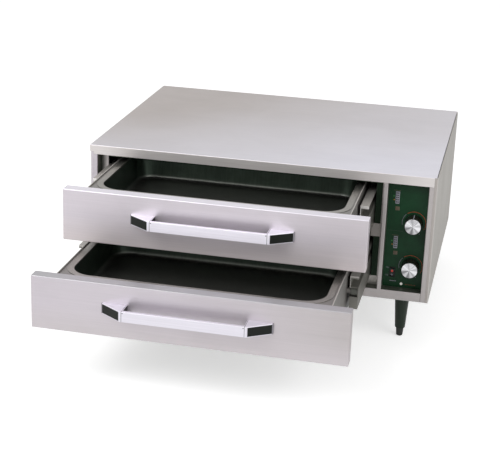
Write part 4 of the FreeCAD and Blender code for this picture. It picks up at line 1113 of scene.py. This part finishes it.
class WARMER_OT_slide_finish(bpy.types.Operator):
    """Tracks, travelling rails and rollers"""

    bl_idname = "warmer.slide_finish"
    bl_label = "Slide finish"

    def execute(self, context):
        rail = tuple(context.scene.warmer_finishes.rail_colour)
        fixed = brushed_steel("Track steel", rail, 0.4, 0.1, "Y", 0.8)
        nylon = moulded("Roller nylon", (0.11, 0.115, 0.10), 0.42, 600.0)
        for level in LEVELS:
            for side in SIDES:
                hand = "%s_%s" % (level, side)
                finish_nodes(self.rail_steel(rail, level, side), "slide_rail_" + hand)
                finish_nodes(fixed, "track_" + hand)
            for end in ENDS:
                finish_nodes(nylon, "rail_rollers_%s_%s" % (level, end),
                             "drawer_rollers_%s_%s" % (level, end))
        return {"FINISHED"}

    def rail_steel(self, rail, level, side):
        """Plated steel with painted highlights on the rail's front cut edges and painted shade
        under its upper lip
        """
        bright, lip = DRAWER_LOOKS[level]["rail_painted_highlight"], DRAWER_LOOKS[level]["rail_lip"]
        low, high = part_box("slide_rail_%s_%s" % (level, side))
        tip = short_of("Y", low.y + 0.8 * MM, 0.8 * MM)
        below_lip = short_of("Z", high.z - lip - 0.6 * MM, 0.6 * MM)
        hanger = past("Z", high.z - 25.0 * MM, 1.0 * MM)
        if side == "right":
            web = short_of("X", low.x + 1.6 * MM, 0.3 * MM)
        else:
            web = past("X", high.x - 1.6 * MM, 0.3 * MM)
        return brushed_steel(
            "Slide rail steel %s %s" % (level, side), rail, 0.36, 0.1, "Y", 1.0, metal=0.65,
            faces=((bright, tip), ((0.20, 0.195, 0.175), below_lip),
                   (bright, tip, web, hanger)))


class WARMER_OT_frame_skirts(bpy.types.Operator):
    """Skirt plates under the side walls of the drawer frames, their dark steel painted shade"""

    bl_idname = "warmer.frame_skirts"
    bl_label = "Frame skirts"

    def execute(self, context):
        look = context.scene.warmer_finishes
        depth = look.skirt_depth
        sheet, rounding = 1.5 * MM, 0.6 * MM
        axle_reach = 20.8 * MM  # how far the roller axles stand out past the wall
        setback = 1.0 * MM
        # Painted shade: the skirts' dark steel fills the shaded gap under the frames' walls.
        steel = brushed_steel("Skirt steel", (0.15, 0.15, 0.14), 0.4, look.grain_depth, "Y", 1.0)
        for level in LEVELS:
            low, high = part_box("drawer_frame_" + level)
            reach = high.x - axle_reach - sheet / 2 - handle_middle
            for side, place in (("left", handle_middle - reach), ("right", handle_middle + reach)):
                deselect_everything()
                bpy.ops.mesh.primitive_cube_add(size=1, location=(
                    place, (low.y + high.y) / 2 + setback, low.z - depth / 2))
                bpy.context.active_object.scale = (
                    sheet, high.y - low.y - 2 * setback, depth)
                skirt = open_piece("frame_skirt_%s_%s" % (level, side))
                select_parts(skirt, "FACE", lambda face: face.normal.z < -FACING)
                bpy.ops.mesh.bevel(offset=rounding, segments=3, affect="EDGES")
                close_piece(skirt, steel, "drawer_" + level)
        return {"FINISHED"}


class WARMER_OT_control_finish(bpy.types.Operator):
    """Control panel, knobs, switch, lamps and the mains fittings"""

    bl_idname = "warmer.control_finish"
    bl_label = "Control finish"

    def execute(self, context):
        look = context.scene.warmer_finishes
        black = tuple(look.plastic_colour)
        finish_nodes(moulded("Panel enamel", tuple(look.panel_colour), 0.42, 1100.0, 0.0, 0.22),
                     "control_panel")
        finish_nodes(moulded("Knob plastic", black, 0.3, 800.0, 0.1, 0.35),
                     "knob_upper", "knob_lower")
        finish_nodes(moulded("Switch plastic", black, 0.3, 900.0, 0.0, 0.35),
                     "switch_housing", "rocker")
        finish_nodes(moulded("Gland nylon", (0.02, 0.02, 0.021), 0.4, 700.0), "cord_gland")
        finish_nodes(moulded("Terminal block nylon", (0.62, 0.60, 0.54), 0.45, 700.0),
                     "terminal_block")
        finish_nodes(lens_plastic("Switch lens", tuple(look.red_lens_colour), 0.25),
                     "rocker_lens")
        finish_nodes(lens_plastic("Pilot lens", tuple(look.pale_lens_colour), 0.3),
                     "pilot_lens")
        for level in LEVELS:
            centre = tuple(box_middle("knob_face_" + level))
            finish_nodes(turned_metal("Knob face " + level, tuple(look.knob_face_colour), 0.26,
                                      centre, 0.7 * MM, 0.8), "knob_face_" + level)
            finish_nodes(turned_metal("Thermostat plate " + level, (0.50, 0.48, 0.42), 0.32,
                                      centre, 1.2 * MM), "thermostat_" + level)
        return {"FINISHED"}


# ---------------------------------------------------------------- printed marks


class WARMER_OT_dial_prints(bpy.types.Operator):
    """Coloured arcs and ticks round the two knobs"""

    bl_idname = "warmer.dial_prints"
    bl_label = "Dial prints"

    def execute(self, context):
        marks = context.scene.warmer_prints
        hot = ink("Orange ink", tuple(marks.orange_ink))
        cool = ink("Pale ink", tuple(marks.pale_ink))
        faint = ink("Faint ink", scaled(marks.pale_ink, 0.5))
        arcs = (
            ("dial_arc_hot_", hot, marks.ring_radius, marks.ring_width, -30, 157.5),
            ("dial_arc_cool_", faint, marks.ring_radius, marks.ring_width, 135, 60),
            ("dial_tick_", cool, marks.ring_radius + 1.4 * MM, 1.6 * MM, -61, 2.5))
        for level in LEVELS:
            middle = box_middle("knob_" + level)
            centre = Vector((middle.x, panel_face, middle.z))
            for name, material, radius, width, start, sweep in arcs:
                arc = printed_arc(name + level, centre, radius, width, math.radians(start),
                                  math.radians(sweep), marks.ink_thickness)
                print_on_panel(arc, material)
        return {"FINISHED"}


class WARMER_OT_panel_legends(bpy.types.Operator):
    """Scale strips, small plates, dots, dashes and the switch's ON and OFF"""

    bl_idname = "warmer.panel_legends"
    bl_label = "Panel legends"

    def execute(self, context):
        marks = context.scene.warmer_prints
        thick = marks.ink_thickness
        for name, colour in (
                ("Brown ink", tuple(marks.brown_ink)), ("Dark ink", tuple(marks.dark_ink)),
                ("Scale ink", scaled(marks.pale_ink, 0.7)), ("Green ink", (0.05, 0.26, 0.06)),
                ("Amber ink", (0.50, 0.20, 0.03))):
            ink(name, colour)
        for level, inset, drop in SCALE_PLACES:
            self.print_scale(level, panel_left + inset, cad_high.z - drop, thick)
        self.print_parting(thick)
        self.print_switch_words(thick)
        self.print_lamp_dashes(thick)
        return {"FINISHED"}

    def print_scale(self, level, left, top, thick):
        """Strip with its marks, the line over it, the plate under it and its two dots"""
        for name, colour, start, end, bottom, head, corner in SCALE_PLATES:
            marked = name == "scale_marks"
            plate = printed_plate(
                "%s_%s" % (name, level), left + start * MM, left + end * MM,
                top + bottom * MM, top + head * MM,
                panel_face - thick if marked else panel_face, thick, corner * MM)
            if marked:
                repeat_piece((0, 0, -SCALE_MARK_PITCH), SCALE_MARK_ROWS - 1)
                repeat_piece((SCALE_MARK_COLUMN, 0, 0), 1)
            print_on_panel(plate, bpy.data.materials[colour])
        for name, colour, across, up in SCALE_DOTS:
            dot = printed_dot("%s_%s" % (name, level), left + across * MM, top + up * MM,
                              SCALE_DOT_RADIUS, panel_face, thick)
            print_on_panel(dot, bpy.data.materials[colour])

    def print_parting(self, thick):
        """Fine line between the dials and the switch"""
        left, top = panel_left + 1.0 * MM, cad_high.z - 130.2 * MM
        parting = printed_plate("panel_parting", left, left + 34.0 * MM, top - 0.8 * MM, top,
                                panel_face, thick, 0.3 * MM)
        print_on_panel(parting, ink("Green line ink", (0.012, 0.045, 0.022)))

    def print_switch_words(self, thick):
        """ON and OFF beside the switch and a plain bar under it"""
        faint = bpy.data.materials["Faint ink"]
        low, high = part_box("switch_housing")
        for words, height in (("ON", high.z - 2.2 * MM), ("OFF", low.z + 3.0 * MM)):
            word = printed_word("switch_word_" + words.lower(), words, low.x - 5.0 * MM,
                                height, 4.2 * MM, panel_face, thick)
            print_on_panel(word, faint)
        underline = printed_plate("switch_underline", low.x + 1.5 * MM, high.x + 3.5 * MM,
                                  low.z - 9.6 * MM, low.z - 7.8 * MM, panel_face, thick,
                                  0.4 * MM)
        print_on_panel(underline, faint)

    def print_lamp_dashes(self, thick):
        """Row of dashes beside the pilot lamp"""
        lamp = box_middle("pilot_lens")
        dash = printed_plate("lamp_dashes", lamp.x + 8.0 * MM, lamp.x + 10.4 * MM,
                             lamp.z - 1.6 * MM, lamp.z + 0.3 * MM, panel_face, thick, 0.3 * MM)
        repeat_piece((3.3 * MM, 0, 0), 6)
        print_on_panel(dash, ink("Burnt orange ink", (0.17, 0.055, 0.016)))


class WARMER_OT_knob_pointers(bpy.types.Operator):
    """Pale pointer lines let into the knobs' skirts"""

    bl_idname = "warmer.knob_pointers"
    bl_label = "Knob pointers"

    def execute(self, context):
        marks = context.scene.warmer_prints
        width, thickness, rounding = 1.3 * MM, 0.4 * MM, 0.12 * MM
        for level, turn in (("upper", marks.pointer_upper), ("lower", marks.pointer_lower)):
            outward = Vector((math.cos(turn), 0, math.sin(turn)))
            node = "knob_" + level
            middle = box_middle(node)
            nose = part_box(node)[0].y + 1.0 * MM
            root = panel_face - 3.0 * MM
            halfway = (nose + root) / 2
            near = knob_reach(node, middle, turn, nose)
            far = knob_reach(node, middle, turn, root)
            deselect_everything()
            bpy.ops.mesh.primitive_cube_add(
                size=1, rotation=(0, math.pi / 2 - turn, 0),
                location=Vector((middle.x, halfway, middle.z)) + outward * far)
            bpy.context.active_object.scale = (width, root - nose, thickness)
            piece = open_piece("knob_pointer_" + level)
            select_parts(piece, "VERT", lambda point, edge=halfway: point.co.y < edge)
            bpy.ops.transform.translate(value=outward * (near - far))
            bpy.ops.mesh.select_all(action="SELECT")
            bpy.ops.mesh.bevel(offset=rounding, segments=2, affect="EDGES")
            close_piece(piece, bpy.data.materials["Pale ink"], node)
        return {"FINISHED"}


class WARMER_OT_rocker_mark(bpy.types.Operator):
    """Ring mark at the lower end of the rocker"""

    bl_idname = "warmer.rocker_mark"
    bl_label = "Rocker mark"

    def execute(self, context):
        radius, width, thickness, sunk = 1.5 * MM, 0.6 * MM, 0.3 * MM, 0.1 * MM
        low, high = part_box("rocker")
        height = low.z + 4.4 * MM
        face = min(point.co.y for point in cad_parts["rocker"].data.vertices
                   if abs(point.co.z - height) < 5.5 * MM)
        centre = Vector(((low.x + high.x) / 2, face + sunk, height))
        ring = printed_arc("rocker_ring", centre, radius, width, 0.0, 2 * math.pi, thickness)
        close_piece(ring, bpy.data.materials["Pale ink"], "rocker")
        return {"FINISHED"}


# ---------------------------------------------------------------- stage


SOFTBOX_SIZE = 2.4
SOFTBOX_AIM = (0, 0, 0.2)
FLOOR_SIZE = 60.0
FLOOR_GLOW = (0.55, 0.22)


class WARMER_OT_stage(bpy.types.Operator):
    """Camera, softboxes, room light and plain floor"""

    bl_idname = "warmer.stage"
    bl_label = "Stage"

    def execute(self, context):
        stage = context.scene.warmer_stage
        self.set_camera(context, stage)
        self.add_softbox(context, "Key softbox", (-2.2, -2.6, 3.0), stage.key_power)
        self.add_softbox(context, "Fill softbox", (2.6, -1.6, 2.2), stage.fill_power)
        self.light_room(context, stage)
        self.lay_floor(stage)
        context.scene.view_settings.view_transform = "Standard"
        return {"FINISHED"}

    def set_camera(self, context, stage):
        """Camera at its place, turned, tipped and rolled by the stage's settings"""
        data = bpy.data.cameras.new("Camera")
        data.lens = stage.lens
        data.sensor_width = 36.0
        data.clip_start = 0.01
        data.clip_end = 100.0
        camera = bpy.data.objects.new("Camera", data)
        context.scene.collection.objects.link(camera)
        camera.matrix_world = (
            Matrix.Translation(Vector(stage.camera_place))
            @ Matrix.Rotation(stage.camera_azimuth, 4, "Z")
            @ Matrix.Rotation(math.pi / 2 - stage.camera_elevation, 4, "X")
            @ Matrix.Rotation(stage.camera_roll, 4, "Z"))
        context.scene.camera = camera

    def add_softbox(self, context, name, place, power):
        """Square area lamp aimed at the warmer"""
        data = bpy.data.lights.new(name, "AREA")
        data.shape = "SQUARE"
        data.size = SOFTBOX_SIZE
        data.energy = power
        lamp = bpy.data.objects.new(name, data)
        context.scene.collection.objects.link(lamp)
        aim = Vector(SOFTBOX_AIM) - Vector(place)
        lamp.matrix_world = (Matrix.Translation(Vector(place))
                             @ aim.to_track_quat("-Z", "Y").to_matrix().to_4x4())

    def seen_level(self, tree, direct, mirrored, rest):
        """Level for camera rays, one for glossy and transmission rays, one for the rest"""
        path = tree.nodes.new("ShaderNodeLightPath")
        seen = figure(tree, "MULTIPLY", path.outputs["Is Camera Ray"], direct - rest)
        other = figure(tree, "MAXIMUM", path.outputs["Is Glossy Ray"],
                       path.outputs["Is Transmission Ray"])
        both = figure(tree, "ADD", seen, figure(tree, "MULTIPLY", other, mirrored - rest))
        return figure(tree, "ADD", both, rest)

    def light_room(self, context, stage):
        """White room that is seen and mirrored in full but lights only by its level"""
        world = bpy.data.worlds.new("Room")
        context.scene.world = world
        world.use_nodes = True
        tree = world.node_tree
        tree.nodes.clear()
        level = self.seen_level(tree, 1.0, 1.0, stage.room_level)
        back = add_node(tree, "ShaderNodeBackground", None, {
            "Color": (1.0, 1.0, 1.0, 1.0), "Strength": level})
        output = tree.nodes.new("ShaderNodeOutputWorld")
        tree.links.new(back.outputs["Background"], output.inputs["Surface"])

    def lay_floor(self, stage):
        """Plain floor that glows a little where it is seen or mirrored"""
        seen, mirrored = FLOOR_GLOW
        deselect_everything()
        bpy.ops.mesh.primitive_plane_add(size=FLOOR_SIZE, location=(0, 0, 0))
        floor = named_piece("floor")
        material, tree, shader = new_material("Floor paint")
        shader.inputs["Base Color"].default_value = (*stage.floor_colour, 1.0)
        shader.inputs["Roughness"].default_value = 0.9
        shader.inputs["Specular IOR Level"].default_value = 0.1
        shader.inputs["Emission Color"].default_value = (1.0, 1.0, 1.0, 1.0)
        tree.links.new(self.seen_level(tree, seen, mirrored, 0.0),
                       shader.inputs["Emission Strength"])
        floor.data.materials.append(material)


# ---------------------------------------------------------------- panel and registration


class WARMER_PT_sidebar(bpy.types.Panel):
    """Buttons for each step of the warmer"""

    bl_idname = "WARMER_PT_sidebar"
    bl_label = "Warmer"
    bl_space_type = "VIEW_3D"
    bl_region_type = "UI"
    bl_category = "Warmer"

    def draw(self, context):
        layout = self.layout
        for step in STEPS:
            layout.operator("warmer." + step)
        for group in (context.scene.warmer_finishes, context.scene.warmer_prints,
                      context.scene.warmer_stage):
            column = layout.column()
            for name in group.__annotations__:
                column.prop(group, name)


STEPS = ("cabinet_finish", "cavity_finish", "drawer_finish", "slide_finish",
         "frame_skirts", "control_finish", "dial_prints", "panel_legends", "knob_pointers",
         "rocker_mark", "stage")

CLASSES = (WarmerFinishes, WarmerPrints, WarmerStage, WARMER_OT_cabinet_finish,
           WARMER_OT_cavity_finish, WARMER_OT_drawer_finish, WARMER_OT_slide_finish,
           WARMER_OT_frame_skirts, WARMER_OT_control_finish, WARMER_OT_dial_prints,
           WARMER_OT_panel_legends, WARMER_OT_knob_pointers, WARMER_OT_rocker_mark,
           WARMER_OT_stage, WARMER_PT_sidebar)

EFFECTS = (make_sheet_grain, make_sheet_painted_shading, make_handling_marks, make_heat_tint,
           make_moulded_skin, make_turned_rings, make_zinc_spangle, make_seam_line,
           make_print_grain)


def register():
    """Registers the add-on's classes and their settings."""
    for kind in CLASSES:
        bpy.utils.register_class(kind)
    bpy.types.Scene.warmer_finishes = bpy.props.PointerProperty(type=WarmerFinishes)
    bpy.types.Scene.warmer_prints = bpy.props.PointerProperty(type=WarmerPrints)
    bpy.types.Scene.warmer_stage = bpy.props.PointerProperty(type=WarmerStage)


def unregister():
    """Takes the settings and classes away again."""
    del bpy.types.Scene.warmer_stage
    del bpy.types.Scene.warmer_prints
    del bpy.types.Scene.warmer_finishes
    for kind in reversed(CLASSES):
        bpy.utils.unregister_class(kind)


def main():
    """Builds the dressed warmer in order."""
    register()
    for make in EFFECTS:
        make()
    for step in STEPS:
        getattr(bpy.ops.warmer, step)()
    deselect_everything()


if __name__ == "__main__":
    main()
